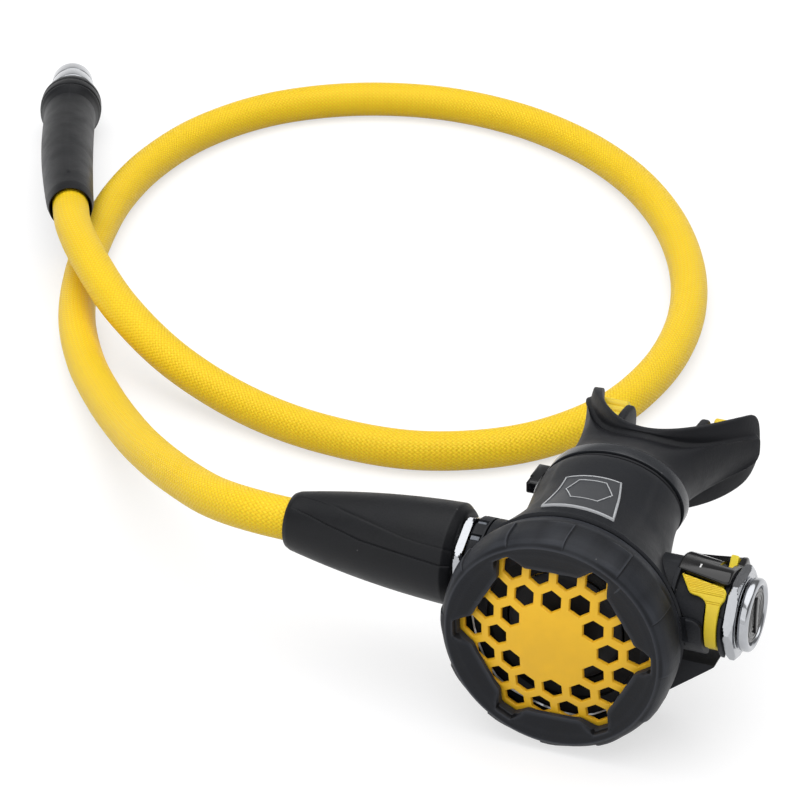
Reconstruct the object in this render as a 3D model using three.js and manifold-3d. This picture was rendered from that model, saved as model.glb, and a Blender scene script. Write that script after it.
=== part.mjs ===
// Diving regulator second stage with its braided hose.
// Millimetres, +Z up. The purge cover faces -Y, the mouthpiece +Y, the hose side is -X, the dial side +X.
// The front ring and the exhaust tee stand on Z = 0.
import * as THREE from 'three';
import { mergeVertices } from 'three/addons/utils/BufferGeometryUtils.js';
import Module from 'manifold-3d';

const wasm = await Module();
wasm.setup();

// ---- clearances -------------------------------------------------------------------------------------
const GAP = 0.35; // between pieces that seat on each other
const SLIDE_GAP = 0.45; // between pieces that move past each other

// ---- front ring and purge cover ---------------------------------------------------------------------
const RING_RADIUS = 31.2; // outside of the grip
const RING_RAISE = 0.4; // the ring clears the floor; the exhaust tee's foot stands on it
const RING_WALL = 2.0;
const RING_DEPTH = 11.6;
const RING_EDGE_RADIUS = 28.4; // the ring's foremost edge
const RING_EDGE_Y = -2.6;
const RING_DISH_Y = -1.3; // the face between that edge and the star window
const GRIP_COUNT = 12;
const GRIP_DEPTH = 0.5;
const GRIP_HALF_WIDTH = 4;
const GRIP_TURN_DEG = 2.5;
const FACE_TURN_DEG = 1.5; // ring and cover are screwed on a little turned
const COVER_TRAVEL = 2.0;
const COVER_PITCH = 7.35; // between neighbouring hexagon holes
const COVER_HOLE = 4.7; // hexagon hole, across flats
const COVER_THICKNESS = 1.9;
const COVER_RISE = 3.0; // how far the middle stands in front of the ring
const COVER_DOME = 0.0075; // drop per radius squared, 1/mm
const STAR_TIP = 25.9; // from the middle to a lobe's flat tip
const STAR_SHOULDER = 21.6; // where a lobe's slanted sides end
const POST_RADIUS = 5;

// ---- diaphragm --------------------------------------------------------------------------------------
const CLAMP_THICKNESS = 1.1;
const PLATE_RADIUS = 15.2;
const PLATE_THICKNESS = 0.9;
const SKIRT_THICKNESS = 0.8;
const BEAD_THICKNESS = 1.5;

// ---- case -------------------------------------------------------------------------------------------
const BOWL_RADIUS = 30.2; // just behind the ring
const NECK_RADIUS = 17.8;
const NECK_END = 47.5; // rear end of the wide neck
const NECK_CURVE = 11; // length over which the bowl narrows to the neck
const NECK_STEPS = 5; // sections along that curve
const TOP_FALL = 0.06; // drop of the level top line per mm towards the rear
const CASE_WALL = 2.2;
const SPIGOT_LENGTH = 6; // thin tube that the mouthpiece is pushed on
const SPIGOT_RADIUS = 15.4;
const SPIGOT_WALL = 2.0;

// ---- barrel across the case -------------------------------------------------------------------------
const BARREL_Y = 23;
const BARREL_RISE = 5.2; // barrel axis above the ring's axis
const BARREL_RADIUS = 8.2;
const BARREL_BORE = 6.3;
const BARREL_LEFT = -32.6;
const BARREL_RIGHT = 39.8;
const BOSS_RADIUS = 11.2;
const INLET_THREAD_RADIUS = 6.8;
const INLET_BORE = 5.5;

// ---- valve inside the barrel ------------------------------------------------------------------------
const ORIFICE_LEFT = -25;
const ORIFICE_LENGTH = 6;
const ORIFICE_BORE = 1.8;
const NOSE_LENGTH = 1.6;
const SEAT_THICKNESS = 1.6;
const POPPET_LENGTH = 30;
const POPPET_STEM = 2.1;
const LEVER_PIVOT_X = 10;
const LEVER_ARM = 12; // pivot to the foot that touches the diaphragm
const LEVER_TOE = 6.6; // pivot to the point that pulls the poppet
const LEVER_WIRE = 0.8; // half thickness of the lever's strip
const SPRING_SEAT_LENGTH = 4;
const SEAT_TRAVEL = 0.94; // three quarters of a turn on a thread of 1.25 mm pitch

// ---- dial side --------------------------------------------------------------------------------------
const HOUSING_LEFT = 25.6;
const HOUSING_RIGHT = 39.9;
const HOUSING_RADIUS = 12.4;
const FLANGE_THICKNESS = 1.1;
const COLLAR_RADIUS = 10.6; // turning collar of the airflow lever
const LEVER_RADIUS = 12.1; // outer face of the airflow lever's paddle
const LEVER_TRAVEL_DEG = 28;
const LEVER_TOP_DEG = 65; // angles about the barrel count up from the front
const LEVER_LOW_DEG = -27;
const PADDLE_MIDDLE_DEG = 52;
const HOOD_TOP_DEG = 150;
const TAB_FROM_DEG = 128;
const TAB_TO_DEG = 142;
const COLLAR_LEFT = 35.3;
const NUT_RADIUS = 12.3; // hexagon of the barrel nut, across corners / 2
const NUT_THICKNESS = 2.6;
const DIAL_RADIUS = 9.5;
const DIAL_THICKNESS = 2.7;
const DIAL_FACE_RADIUS = 7.4;
const DIAL_SHAFT = 4.2;

// ---- hose side --------------------------------------------------------------------------------------
const SWIVEL_RADIUS = 11.8; // hexagon, across corners / 2
const SWIVEL_HEX = 2.1;
const SWIVEL_LENGTH = 9.2;
const SWIVEL_BODY_RADIUS = 9.3;
const COLLAR_FACE_RADIUS = 11.2;
const STEM_NECK = 4.5;
const HOSE_DIAMETER = 11.4;
const HOSE_SIDES = 8;
const HOSE_STEPS = 60;
const SLEEVE_LENGTH = 48.5;
const SLEEVE_MOUTH_RADIUS = 7.9;
const SLEEVE_NUT_RADIUS = 13.5;
const SLEEVE_BULGE = 1.0; // how far the sleeve's side bows out of a plain cone
const OUTLET_SLEEVE_LENGTH = 97;
const HOSE_END = 72; // the hose ends this far inside the outlet sleeve
const OUTLET_SLEEVE_RADIUS = 8.3;
const OUTLET_FLANGE_RADIUS = 9.6;
const FERRULE_WALL = 1.2;
const FITTING_LENGTH = 13;
const FITTING_HEX_ROUND = 6.4;
const FITTING_THREAD_RADIUS = 4.75;

// ---- exhaust ----------------------------------------------------------------------------------------
const TEE_FRONT = 18;
const TEE_REAR = 32;
const TEE_WALL = 1.8;
const TEE_FOOT_HALF = 12.5; // half width of the flat that stands on the floor
const TEE_WING_X = 38.4;
const TEE_TIP_LOW = 17.2;
const TEE_TIP_HIGH = 23.2;
const TEE_TOP_INNER_X = 27;
const VALVE_Y = 24.5;
const VALVE_TILT_DEG = 40; // the port looks down and to the rear
const VALVE_RADIUS = 8.6;
const VALVE_THICKNESS = 0.8;
const VALVE_LIFT = 1.2;
const PORT_RADIUS = 6.6;
const PORT_FACE = 2.1; // the port's flat face stands this far outside the case

// ---- mouthpiece -------------------------------------------------------------------------------------
const MOUTH_COLLAR_WALL = 2.0;
const MOUTH_NECK_Y = 54.3; // the round collar ends here
const MOUTH_WAIST = 3.6; // how much the neck narrows before it flares
const FLANGE_X = -0.7; // the flange sits a little to the left
const FLANGE_Y = 71.8; // the flange's outer face, in the middle
const FLANGE_Z = 46; // height of the line that joins the tips
const FLANGE_WIDTH = 22; // half axes of the flange's curve, seen from above
const FLANGE_DEPTH = 24;
const FLANGE_REACH_DEG = 84; // how far the wings follow that curve
const FLANGE_UP = 9.6;
const FLANGE_DOWN = 15;
const FLANGE_WALL = 2;
const FLANGE_BULGE = 3.6; // the flange is domed outwards at the height of the tips
const FLANGE_BAND = 3.4; // free edge of the flange beyond the flared neck
const AIRWAY_HALF_WIDTH = 10;
const AIRWAY_HALF_HEIGHT = 5.5;
const LUG_X = 9.4; // inner face of a bite lug
const LUG_THICKNESS = 2.4;
const LUG_FRONT = 80;
const LUG_REAR = 95;
const LUG_TOP = 51.5;
const LUG_BOTTOM = 40;
const PAD_RODS = 4;
const PAD_ROD_RADIUS = 1.7;
const PAD_ROD_PITCH = 3.2;
const PAD_Z = 47.6;
const TIE_WIDTH = 4;
const TIE_THICKNESS = 0.9;
const TIE_Y = 48.8;

// ---- places that follow from the sizes above --------------------------------------------------------
const AXIS_Z = RING_RADIUS + RING_RAISE;
const BARREL_Z = AXIS_Z + BARREL_RISE;
const RING_BORE = RING_RADIUS - RING_WALL - 1.6;
const RIM_RADIUS = RING_BORE - GAP;
const COVER_RADIUS = RING_BORE - SLIDE_GAP;
const coverFace = (r) => -COVER_RISE + COVER_DOME * r * r;
const COVER_RIM_REAR = coverFace(COVER_RADIUS) + COVER_THICKNESS;
const CLAMP_FRONT = COVER_RIM_REAR + COVER_TRAVEL + 0.6;
const CLAMP_REAR = CLAMP_FRONT + CLAMP_THICKNESS;
const RIM_FRONT = CLAMP_FRONT - 0.2;
const BEAD_FRONT = CLAMP_REAR + GAP;
const BEAD_REAR = BEAD_FRONT + BEAD_THICKNESS;
const LEDGE_Y = BEAD_REAR + GAP;
const RIM_BORE = RIM_RADIUS - 1.9;
const PLATE_FRONT = BEAD_FRONT - 0.4;
const PLATE_REAR = PLATE_FRONT + PLATE_THICKNESS;
const BOWL_START = RING_DEPTH + GAP + 0.6;
const caseRadius = (y) =>
  NECK_RADIUS + (BOWL_RADIUS - NECK_RADIUS) * Math.exp(-Math.max(0, y - BOWL_START) / NECK_CURVE);
// The case's top line runs nearly level, so each section's middle rises as the case narrows.
const caseMiddle = (y) =>
  y <= BOWL_START ? 0 : BOWL_RADIUS - caseRadius(y) - TOP_FALL * (y - BOWL_START);
const SPIGOT_END = NECK_END + SPIGOT_LENGTH;
const MOUTH_Z = AXIS_Z + caseMiddle(NECK_END);
const COLLAR_RIGHT = HOUSING_RIGHT - FLANGE_THICKNESS - SLIDE_GAP;
const NUT_LEFT = HOUSING_RIGHT + GAP;
const DIAL_LEFT = NUT_LEFT + NUT_THICKNESS + SLIDE_GAP;
const DIAL_RIGHT = DIAL_LEFT + DIAL_THICKNESS;
const ORIFICE_RIGHT = ORIFICE_LEFT + ORIFICE_LENGTH;
const SEAT_LEFT = ORIFICE_RIGHT + NOSE_LENGTH + GAP;
const POPPET_LEFT = SEAT_LEFT + SEAT_THICKNESS + GAP;
const POPPET_RIGHT = POPPET_LEFT + POPPET_LENGTH;
const POPPET_COLLAR = LEVER_PIVOT_X + LEVER_WIRE + SLIDE_GAP;
const SPRING_SEAT_LEFT = BARREL_RIGHT - 12;
const LEVER_PIVOT_Y = BARREL_Y - BARREL_RADIUS - LEVER_WIRE - SLIDE_GAP;
const LEVER_FOOT_Y = PLATE_REAR + SLIDE_GAP + LEVER_WIRE;
const STEM_TIP = BARREL_LEFT + 5.5;
const STEM_FLANGE_RIGHT = BARREL_LEFT - GAP;
const STEM_FLANGE = 2;
const SWIVEL_RIGHT = -30.2;
const SWIVEL_HEX_LEFT = SWIVEL_RIGHT - SWIVEL_HEX;
const SLEEVE_RIGHT = SWIVEL_HEX_LEFT - SLIDE_GAP;
const SLEEVE_LEFT = SLEEVE_RIGHT - SLEEVE_LENGTH;
const HOSE_RADIUS = HOSE_DIAMETER / 2;
const HOSE_START = SLEEVE_RIGHT - 15;
const OUTLET_FERRULE_FROM = HOSE_END - 12;
const OUTLET_FERRULE_TO = HOSE_END + 6;

// Where the hose lies: chosen points, level with the barrel at the start, then down to the floor, round the
// loop, over its own first stretch in a long low hump and down again into the outlet sleeve.
const HOSE_ROUTE = [
  [HOSE_START, BARREL_Y, BARREL_Z],
  [-63, BARREL_Y, BARREL_Z],
  [-80, BARREL_Y, BARREL_Z],
  [-93, 24.6, 36.2],
  [-108, 32.0, 33.0],
  [-125.0, 46.0, 28.2],
  [-144.2, 65.7, 21.6],
  [-161.9, 87.1, 14.6],
  [-179.9, 109.3, 9.5],
  [-197.4, 132.2, 6.7],
  [-212.5, 156.7, 5.8],
  [-223.9, 183.0, 5.8],
  [-232.6, 210.7, 5.8],
  [-238.6, 239.3, 5.8],
  [-239.5, 268.2, 5.8],
  [-233.9, 296.4, 5.8],
  [-219.5, 321.6, 5.8],
  [-196.6, 339.0, 5.8],
  [-169.2, 346.8, 5.8],
  [-140.4, 344.3, 5.8],
  [-113.9, 333.5, 5.8],
  [-90.4, 316.4, 5.8],
  [-71.2, 295.0, 5.8],
  [-55.8, 270.3, 5.8],
  [-44.4, 243.4, 5.8],
  [-37.9, 215.2, 5.8],
  [-37.1, 186.2, 5.8],
  [-43.2, 158.5, 5.8],
  [-59.4, 134.5, 5.8],
  [-84.4, 120.4, 5.8],
  [-113.0, 118.9, 5.8],
  [-140.8, 124.9, 6.6],
  [-168.0, 134.0, 11.3],
  [-192.3, 148.6, 16.8],
  [-212.9, 168.6, 19.9],
  [-229.0, 189.0, 20.1],
].map(([x, y, z]) => new THREE.Vector3(x, y, z));
// The outlet sleeve lies straight between its mouth, over the first stretch, and its flange on the floor.
const OUTLET_MOUTH = new THREE.Vector3(-236.7, 203.4, 19.4);
const OUTLET_TIP = new THREE.Vector3(-279.5, 289.6, 10.0);

// ---- solids -----------------------------------------------------------------------------------------
const TAU = Math.PI * 2;
const SEGMENTS = 24;

// A closed, outward-facing manifold solid from any closed three.js geometry.
function solid(geometry) {
  const bare = geometry.clone();
  for (const name of Object.keys(bare.attributes)) {
    if (name !== 'position') bare.deleteAttribute(name);
  }
  const merged = mergeVertices(bare, 1e-4);
  const index = merged.index.array;
  const kept = [];
  for (let i = 0; i < index.length; i += 3) {
    const [a, b, c] = [index[i], index[i + 1], index[i + 2]];
    if (a !== b && b !== c && c !== a) kept.push(a, b, c);
  }
  const vertProperties = Float32Array.from(merged.attributes.position.array);
  const corner = (i) => new THREE.Vector3().fromArray(vertProperties, 3 * i);
  let volume = 0;
  for (let i = 0; i < kept.length; i += 3) {
    volume += corner(kept[i]).dot(corner(kept[i + 1]).cross(corner(kept[i + 2])));
  }
  if (volume < 0) {
    for (let i = 0; i < kept.length; i += 3) [kept[i], kept[i + 1]] = [kept[i + 1], kept[i]];
  }
  return new wasm.Manifold(new wasm.Mesh({ numProp: 3, vertProperties, triVerts: Uint32Array.from(kept) }));
}

function geometryOf(manifold) {
  const { vertProperties, triVerts, numProp } = manifold.getMesh();
  const position = new Float32Array((vertProperties.length / numProp) * 3);
  for (let i = 0; i < position.length / 3; i += 1) {
    for (let k = 0; k < 3; k += 1) position[3 * i + k] = vertProperties[numProp * i + k];
  }
  const geometry = new THREE.BufferGeometry();
  geometry.setAttribute('position', new THREE.BufferAttribute(position, 3));
  geometry.setIndex(new THREE.BufferAttribute(Uint32Array.from(triVerts), 1));
  geometry.computeVertexNormals();
  return geometry;
}

// A turned piece: [along, radius] pairs, from axis to axis or closed on itself.
function turned(profile, segments = SEGMENTS) {
  const onAxis = profile[0][1] === 0;
  const pairs = onAxis ? profile : [...profile, profile[0]];
  return new THREE.LatheGeometry(pairs.map(([along, radius]) => new THREE.Vector2(radius, along)), segments);
}
const aboutX = (geometry, y = BARREL_Y, z = BARREL_Z) =>
  geometry.rotateZ(-Math.PI / 2).rotateX(Math.PI / 2).translate(0, y, z);
const aboutY = (geometry, z = AXIS_Z) => geometry.translate(0, 0, z);
const tube = (from, to, outer, inner) => [
  [from, inner],
  [from, outer],
  [to, outer],
  [to, inner],
];
const rod = (from, to, radius) => [
  [from, 0],
  [from, radius],
  [to, radius],
  [to, 0],
];
function box(x0, x1, y0, y1, z0, z1) {
  const geometry = new THREE.BoxGeometry(x1 - x0, y1 - y0, z1 - z0);
  return geometry.translate((x0 + x1) / 2, (y0 + y1) / 2, (z0 + z1) / 2);
}
// A plate of a flat shape drawn in X and Z, between two Y planes.
function plateXZ(shape, y0, y1, curveSegments = 8) {
  const geometry = new THREE.ExtrudeGeometry(shape, { depth: y1 - y0, bevelEnabled: false, curveSegments });
  return geometry.rotateX(Math.PI / 2).translate(0, y1, 0);
}
// A hexagonal prism along X.
const hexagonX = (from, to, radius) =>
  aboutX(new THREE.CylinderGeometry(radius, radius, to - from, 6).translate(0, (from + to) / 2, 0));
// Moves every vertex up by a height that depends on its Y.
function raised(geometry, height) {
  const position = geometry.attributes.position;
  for (let i = 0; i < position.count; i += 1) {
    position.setZ(i, position.getZ(i) + height(position.getY(i)));
  }
  return geometry;
}
// A wedge round the barrel axis between two angles, 0 facing the front and 90 straight up.
function sector(fromDeg, toDeg, x0, x1, radius) {
  const shape = new THREE.Shape();
  const at = (deg) => [-radius * Math.cos((deg * Math.PI) / 180), radius * Math.sin((deg * Math.PI) / 180)];
  shape.moveTo(0, 0);
  const steps = Math.max(2, Math.ceil((toDeg - fromDeg) / 12));
  for (let i = 0; i <= steps; i += 1) {
    const [y, z] = at(fromDeg + ((toDeg - fromDeg) * i) / steps);
    shape.lineTo(y, z);
  }
  shape.closePath();
  const geometry = new THREE.ExtrudeGeometry(shape, { depth: x1 - x0, bevelEnabled: false });
  // shape X -> world Y, shape Y -> world Z, depth -> world X
  geometry.rotateX(Math.PI / 2).rotateZ(Math.PI / 2);
  return geometry.translate(x0, BARREL_Y, BARREL_Z);
}

// ---- materials --------------------------------------------------------------------------------------
const finish = (color, roughness, metalness = 0) =>
  new THREE.MeshStandardMaterial({ color, roughness, metalness });
const blackPlastic = () => finish(0x1c1d20, 0.6);
const glossPlastic = () => finish(0x0d0d0f, 0.2);
const yellowPlastic = () => finish(0xf2b705, 0.45);
const blackRubber = () => finish(0x232426, 0.75);
const yellowHose = () => finish(0xf7c40c, 0.6);
const chrome = () => finish(0xc9ccd0, 0.15, 1);
const brass = () => finish(0xb08d4a, 0.3, 1);
const steel = () => finish(0xb5b8bc, 0.3, 1);
const seal = () => finish(0x151515, 0.5);

const group = new THREE.Group();
function add(name, shape, material) {
  const geometry = shape instanceof THREE.BufferGeometry ? geometryOf(solid(shape)) : geometryOf(shape);
  const mesh = new THREE.Mesh(geometry, material);
  mesh.name = name;
  group.add(mesh);
  return mesh;
}

// ---- front ring -------------------------------------------------------------------------------------
// Six lobes that follow the outermost hexagons of the cover, with straight flats between them.
function starShape() {
  const side = COVER_PITCH / Math.sqrt(3);
  const corners = [];
  for (let lobe = 0; lobe < 6; lobe += 1) {
    const angle = ((lobe * 60 + FACE_TURN_DEG) * Math.PI) / 180;
    for (const [reach, aside] of [
      [STAR_SHOULDER, -side],
      [STAR_TIP, -side / 2],
      [STAR_TIP, side / 2],
      [STAR_SHOULDER, side],
    ]) {
      corners.push(
        new THREE.Vector2(
          reach * Math.cos(angle) - aside * Math.sin(angle),
          reach * Math.sin(angle) + aside * Math.cos(angle),
        ),
      );
    }
  }
  return new THREE.Shape(corners);
}

function frontRing() {
  const inner = STAR_SHOULDER - 2.4; // inside the flats of the star
  const dishEdge = STAR_TIP + 0.3;
  const grip = RING_RADIUS - GRIP_DEPTH;
  const back = RING_RADIUS - 1.5;
  const under = (r) => [coverFace(r) - SLIDE_GAP, r];
  const profile = [
    under(inner),
    under((inner + dishEdge) / 2),
    under(COVER_RADIUS - 0.6),
    [coverFace(COVER_RADIUS - 0.6) - SLIDE_GAP, RING_BORE],
    [RING_DEPTH, RING_BORE],
    [RING_DEPTH, back],
    [RING_DEPTH - 2.6, back + 0.7],
    [RING_DEPTH - 4, grip],
    [4.5, grip],
    [2.2, grip - 0.2],
    [0.4, grip - 0.5],
    [RING_EDGE_Y + 1.2, RING_EDGE_RADIUS + 1.5],
    [RING_EDGE_Y + 0.3, RING_EDGE_RADIUS + 0.9],
    [RING_EDGE_Y, RING_EDGE_RADIUS],
    [RING_EDGE_Y + 0.2, RING_EDGE_RADIUS - 0.8],
    [RING_DISH_Y, dishEdge],
    [RING_DISH_Y - 0.1, inner],
  ];
  let ring = solid(aboutY(turned(profile, 40)));
  ring = ring.subtract(solid(plateXZ(starShape(), -8, 6).translate(0, 0, AXIS_Z)));
  // Low grip pads round the side, each a slice of a slightly wider band.
  const band = solid(aboutY(turned(tube(0.9, RING_DEPTH - 4.2, RING_RADIUS, grip - 1), 48)));
  for (let i = 0; i < GRIP_COUNT; i += 1) {
    const slice = box(-GRIP_HALF_WIDTH, GRIP_HALF_WIDTH, 0, RING_DEPTH, 0, RING_RADIUS + 2);
    slice.rotateY((i * TAU) / GRIP_COUNT - (GRIP_TURN_DEG * Math.PI) / 180);
    ring = ring.add(band.intersect(solid(aboutY(slice))));
  }
  return ring;
}

// ---- purge cover: a domed honeycomb with a post behind its solid middle -----------------------------
function honeycombPlaces() {
  const turn = (FACE_TURN_DEG * Math.PI) / 180;
  const places = [];
  for (let row = -3; row <= 3; row += 1) {
    for (let col = -3; col <= 3; col += 1) {
      const ring = Math.max(Math.abs(row), Math.abs(col), Math.abs(row + col));
      if (ring < 2 || ring > 3) continue;
      const x = COVER_PITCH * (col + row / 2);
      const z = (COVER_PITCH * row * Math.sqrt(3)) / 2;
      places.push([x * Math.cos(turn) - z * Math.sin(turn), x * Math.sin(turn) + z * Math.cos(turn)]);
    }
  }
  return places;
}

function purgeCover() {
  const steps = 3;
  const face = [];
  const rear = [];
  for (let i = 0; i <= steps; i += 1) {
    const r = (COVER_RADIUS * i) / steps;
    face.push([coverFace(r), r]);
    rear.unshift([coverFace(r) + COVER_THICKNESS, r]);
  }
  let cover = solid(aboutY(turned([...face, ...rear], 30)));
  cover = cover.add(solid(aboutY(turned(rod(0.9 - COVER_RISE, PLATE_FRONT - SLIDE_GAP, POST_RADIUS), 24))));
  const radius = COVER_HOLE / Math.sqrt(3);
  for (const [x, z] of honeycombPlaces()) {
    const hole = new THREE.CylinderGeometry(radius, radius, 20, 6);
    hole.rotateY((-FACE_TURN_DEG * Math.PI) / 180).translate(x, 0, z);
    cover = cover.subtract(solid(aboutY(hole)));
  }
  return cover;
}

// Wavy return spring between the cover's rim and the clamp ring.
function purgeSpring() {
  const wire = 0.35;
  const middle = (COVER_RIM_REAR + CLAMP_FRONT) / 2;
  const swing = (CLAMP_FRONT - COVER_RIM_REAR) / 2 - wire - 0.3;
  const radius = (RIM_BORE + PLATE_RADIUS) / 2 + 4;
  const points = [];
  const count = 30;
  for (let i = 0; i <= count; i += 1) {
    const turn = 0.03 * TAU + (0.94 * TAU * i) / count;
    const y = middle + swing * Math.sin(6 * turn);
    points.push(new THREE.Vector3(radius * Math.cos(turn), y, AXIS_Z + radius * Math.sin(turn)));
  }
  return tubeAlong(points, wire, 5, count);
}

function tubeAlong(points, radius, sides, steps) {
  const section = new THREE.Shape();
  for (let i = 0; i < sides; i += 1) {
    const angle = (TAU * i) / sides;
    const [x, y] = [radius * Math.cos(angle), radius * Math.sin(angle)];
    if (i === 0) section.moveTo(x, y);
    else section.lineTo(x, y);
  }
  section.closePath();
  const path = new THREE.CatmullRomCurve3(points, false, 'centripetal');
  return new THREE.ExtrudeGeometry(section, { steps, bevelEnabled: false, extrudePath: path });
}

// ---- diaphragm --------------------------------------------------------------------------------------
function clampRing() {
  return aboutY(turned(tube(CLAMP_FRONT, CLAMP_REAR, RIM_BORE - GAP, RIM_BORE - 4.6), 32));
}

function diaphragmSkirt() {
  const inner = PLATE_RADIUS + SLIDE_GAP;
  const outer = RIM_BORE - GAP;
  const wave = outer - 4.6;
  return aboutY(
    turned(
      [
        [BEAD_FRONT, wave],
        [BEAD_FRONT, outer],
        [BEAD_REAR, outer],
        [BEAD_REAR, wave],
        [BEAD_FRONT + SKIRT_THICKNESS + 0.5, (wave + inner) / 2],
        [BEAD_FRONT + SKIRT_THICKNESS, inner],
        [BEAD_FRONT, inner],
        [BEAD_FRONT + 0.5, (wave + inner) / 2],
      ],
      32,
    ),
  );
}

const diaphragmPlate = () =>
  aboutY(
    turned(
      [
        [PLATE_FRONT, 0],
        [PLATE_FRONT, PLATE_RADIUS - 1],
        [PLATE_FRONT + 0.3, PLATE_RADIUS],
        [PLATE_REAR, PLATE_RADIUS],
        [PLATE_REAR, 0],
      ],
      24,
    ),
  );

// ---- case -------------------------------------------------------------------------------------------
function neckStations(from) {
  const stations = [];
  for (let i = 0; i <= NECK_STEPS; i += 1) {
    stations.push(from + (NECK_END - from) * (i / NECK_STEPS) ** 1.4);
  }
  return stations;
}

// The case's outside, larger all round by a clearance when a neighbour is cut to fit it.
function caseOutside(grow = 0, spigot = true) {
  const profile = [
    [RIM_FRONT, 0],
    [RIM_FRONT, RIM_RADIUS + grow],
    [RING_DEPTH + GAP, RIM_RADIUS + grow],
    [RING_DEPTH + GAP, BOWL_RADIUS - 0.6 + grow],
  ];
  for (const y of neckStations(BOWL_START)) profile.push([y, caseRadius(y) + grow]);
  if (spigot) profile.push([NECK_END + 0.01, SPIGOT_RADIUS], [SPIGOT_END, SPIGOT_RADIUS], [SPIGOT_END, 0]);
  else profile.push([NECK_END, 0]);
  return solid(aboutY(raised(turned(profile, 30), caseMiddleToNeck)));
}
const caseMiddleToNeck = (y) => caseMiddle(Math.min(y, NECK_END));

function caseCavity() {
  const profile = [[LEDGE_Y, 0], [LEDGE_Y, RIM_BORE - 2.6], [BOWL_START, RIM_BORE - 1.4]];
  for (const y of neckStations(BOWL_START + 1)) {
    if (y < NECK_END - 6) profile.push([y, Math.min(caseRadius(y) - CASE_WALL, RIM_BORE - 1.4)]);
  }
  profile.push([NECK_END - CASE_WALL, SPIGOT_RADIUS - SPIGOT_WALL]);
  profile.push([SPIGOT_END + 1, SPIGOT_RADIUS - SPIGOT_WALL], [SPIGOT_END + 1, 0]);
  const hollow = solid(aboutY(raised(turned(profile, 30), caseMiddleToNeck)));
  return hollow.add(solid(aboutY(turned(rod(RIM_FRONT - 1, LEDGE_Y + 0.01, RIM_BORE), 32))));
}

// A cylinder whose axis runs through the exhaust port, outwards down and to the rear.
const portAxis = new THREE.Vector3(
  0,
  Math.sin((VALVE_TILT_DEG * Math.PI) / 180),
  -Math.cos((VALVE_TILT_DEG * Math.PI) / 180),
);
const VALVE_Z = AXIS_Z + caseMiddle(VALVE_Y) - caseRadius(VALVE_Y);
function alongPort(profile, segments = SEGMENTS) {
  const turn = new THREE.Quaternion().setFromUnitVectors(new THREE.Vector3(0, 1, 0), portAxis);
  return turned(profile, segments).applyQuaternion(turn).translate(0, VALVE_Y, VALVE_Z);
}

function caseBody() {
  let body = caseOutside().add(solid(alongPort(rod(-5, PORT_FACE, VALVE_RADIUS + 1.2))));
  body = body.subtract(caseCavity());
  const reach = BOWL_RADIUS - 4.6;
  for (const side of [-1, 1]) {
    const from = side < 0 ? -reach : reach - 7.5;
    const boss = solid(aboutX(turned(rod(from, from + 7.5, BOSS_RADIUS))));
    body = body.add(boss);
  }
  body = body.subtract(solid(aboutX(turned(rod(-60, 60, BARREL_RADIUS + GAP)))));
  body = body.subtract(solid(alongPort(rod(PORT_FACE, PORT_FACE + 5, VALVE_RADIUS + 0.8))));
  return body.subtract(solid(alongPort(rod(-12, PORT_FACE + 3, PORT_RADIUS))));
}

// The plate on top of the neck: a tapered frame with a plain hexagon, bare inside.
function badgePlate() {
  const [frontY, rearY, frontHalf, rearHalf] = [17.6, 34.4, 9.4, 6.9];
  const outline = new THREE.Shape();
  outline.moveTo(-frontHalf, frontY);
  outline.lineTo(frontHalf, frontY);
  outline.lineTo(rearHalf, rearY);
  outline.lineTo(-rearHalf, rearY);
  outline.closePath();
  const column = new THREE.ExtrudeGeometry(outline, { depth: 40, bevelEnabled: false });
  column.translate(0, 0, AXIS_Z + 8);
  const skin = caseOutside(GAP + 0.7, false).subtract(caseOutside(GAP, false));
  return skin.intersect(solid(column));
}

// ---- barrel and the valve in it ---------------------------------------------------------------------
function barrelTube() {
  const threadRight = -25.6;
  let barrel = solid(
    aboutX(
      turned([
        [BARREL_LEFT, INLET_BORE],
        [BARREL_LEFT, INLET_THREAD_RADIUS],
        [threadRight, INLET_THREAD_RADIUS],
        [threadRight, BARREL_RADIUS],
        [BARREL_RIGHT, BARREL_RADIUS],
        [BARREL_RIGHT, BARREL_BORE],
        [ORIFICE_LEFT - GAP, BARREL_BORE],
        [ORIFICE_LEFT - GAP, INLET_BORE],
      ]),
    ),
  );
  const [slotLeft, slotRight] = [LEVER_PIVOT_X - 3, LEVER_PIVOT_X + 3];
  const slot = box(slotLeft, slotRight, LEVER_PIVOT_Y - 2, BARREL_Y - 2, BARREL_Z - 3.6, BARREL_Z + 3.6);
  barrel = barrel.subtract(solid(slot));
  for (const side of [-1, 1]) {
    const z = BARREL_Z + side * 4.9;
    const [earLeft, earRight] = [LEVER_PIVOT_X - 1.8, LEVER_PIVOT_X + 1.8];
    const ear = box(earLeft, earRight, LEVER_PIVOT_Y - 0.8, BARREL_Y - 5.2, z - 0.7, z + 0.7);
    barrel = barrel.add(solid(ear).subtract(solid(aboutX(turned(rod(-20, 40, BARREL_BORE))))));
  }
  // Openings in the wall let the breathing gas out of the barrel towards the neck.
  for (const x of [-12, -4]) {
    const port = new THREE.CylinderGeometry(2.4, 2.4, 12, 20);
    port.translate(x, BARREL_Y + BARREL_RADIUS, BARREL_Z);
    barrel = barrel.subtract(solid(port));
  }
  return barrel;
}

function orificeSeat() {
  const outer = BARREL_BORE - GAP;
  const groove = ORIFICE_LEFT + 2;
  return aboutX(
    turned([
      [ORIFICE_LEFT, ORIFICE_BORE],
      [ORIFICE_LEFT, outer],
      [groove, outer],
      [groove, outer - 1.4],
      [groove + 2, outer - 1.4],
      [groove + 2, outer],
      [ORIFICE_RIGHT, outer],
      [ORIFICE_RIGHT, ORIFICE_BORE + 1.6],
      [ORIFICE_RIGHT + NOSE_LENGTH, ORIFICE_BORE + 0.5],
      [ORIFICE_RIGHT + NOSE_LENGTH, ORIFICE_BORE],
    ], 32),
  );
}

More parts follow.
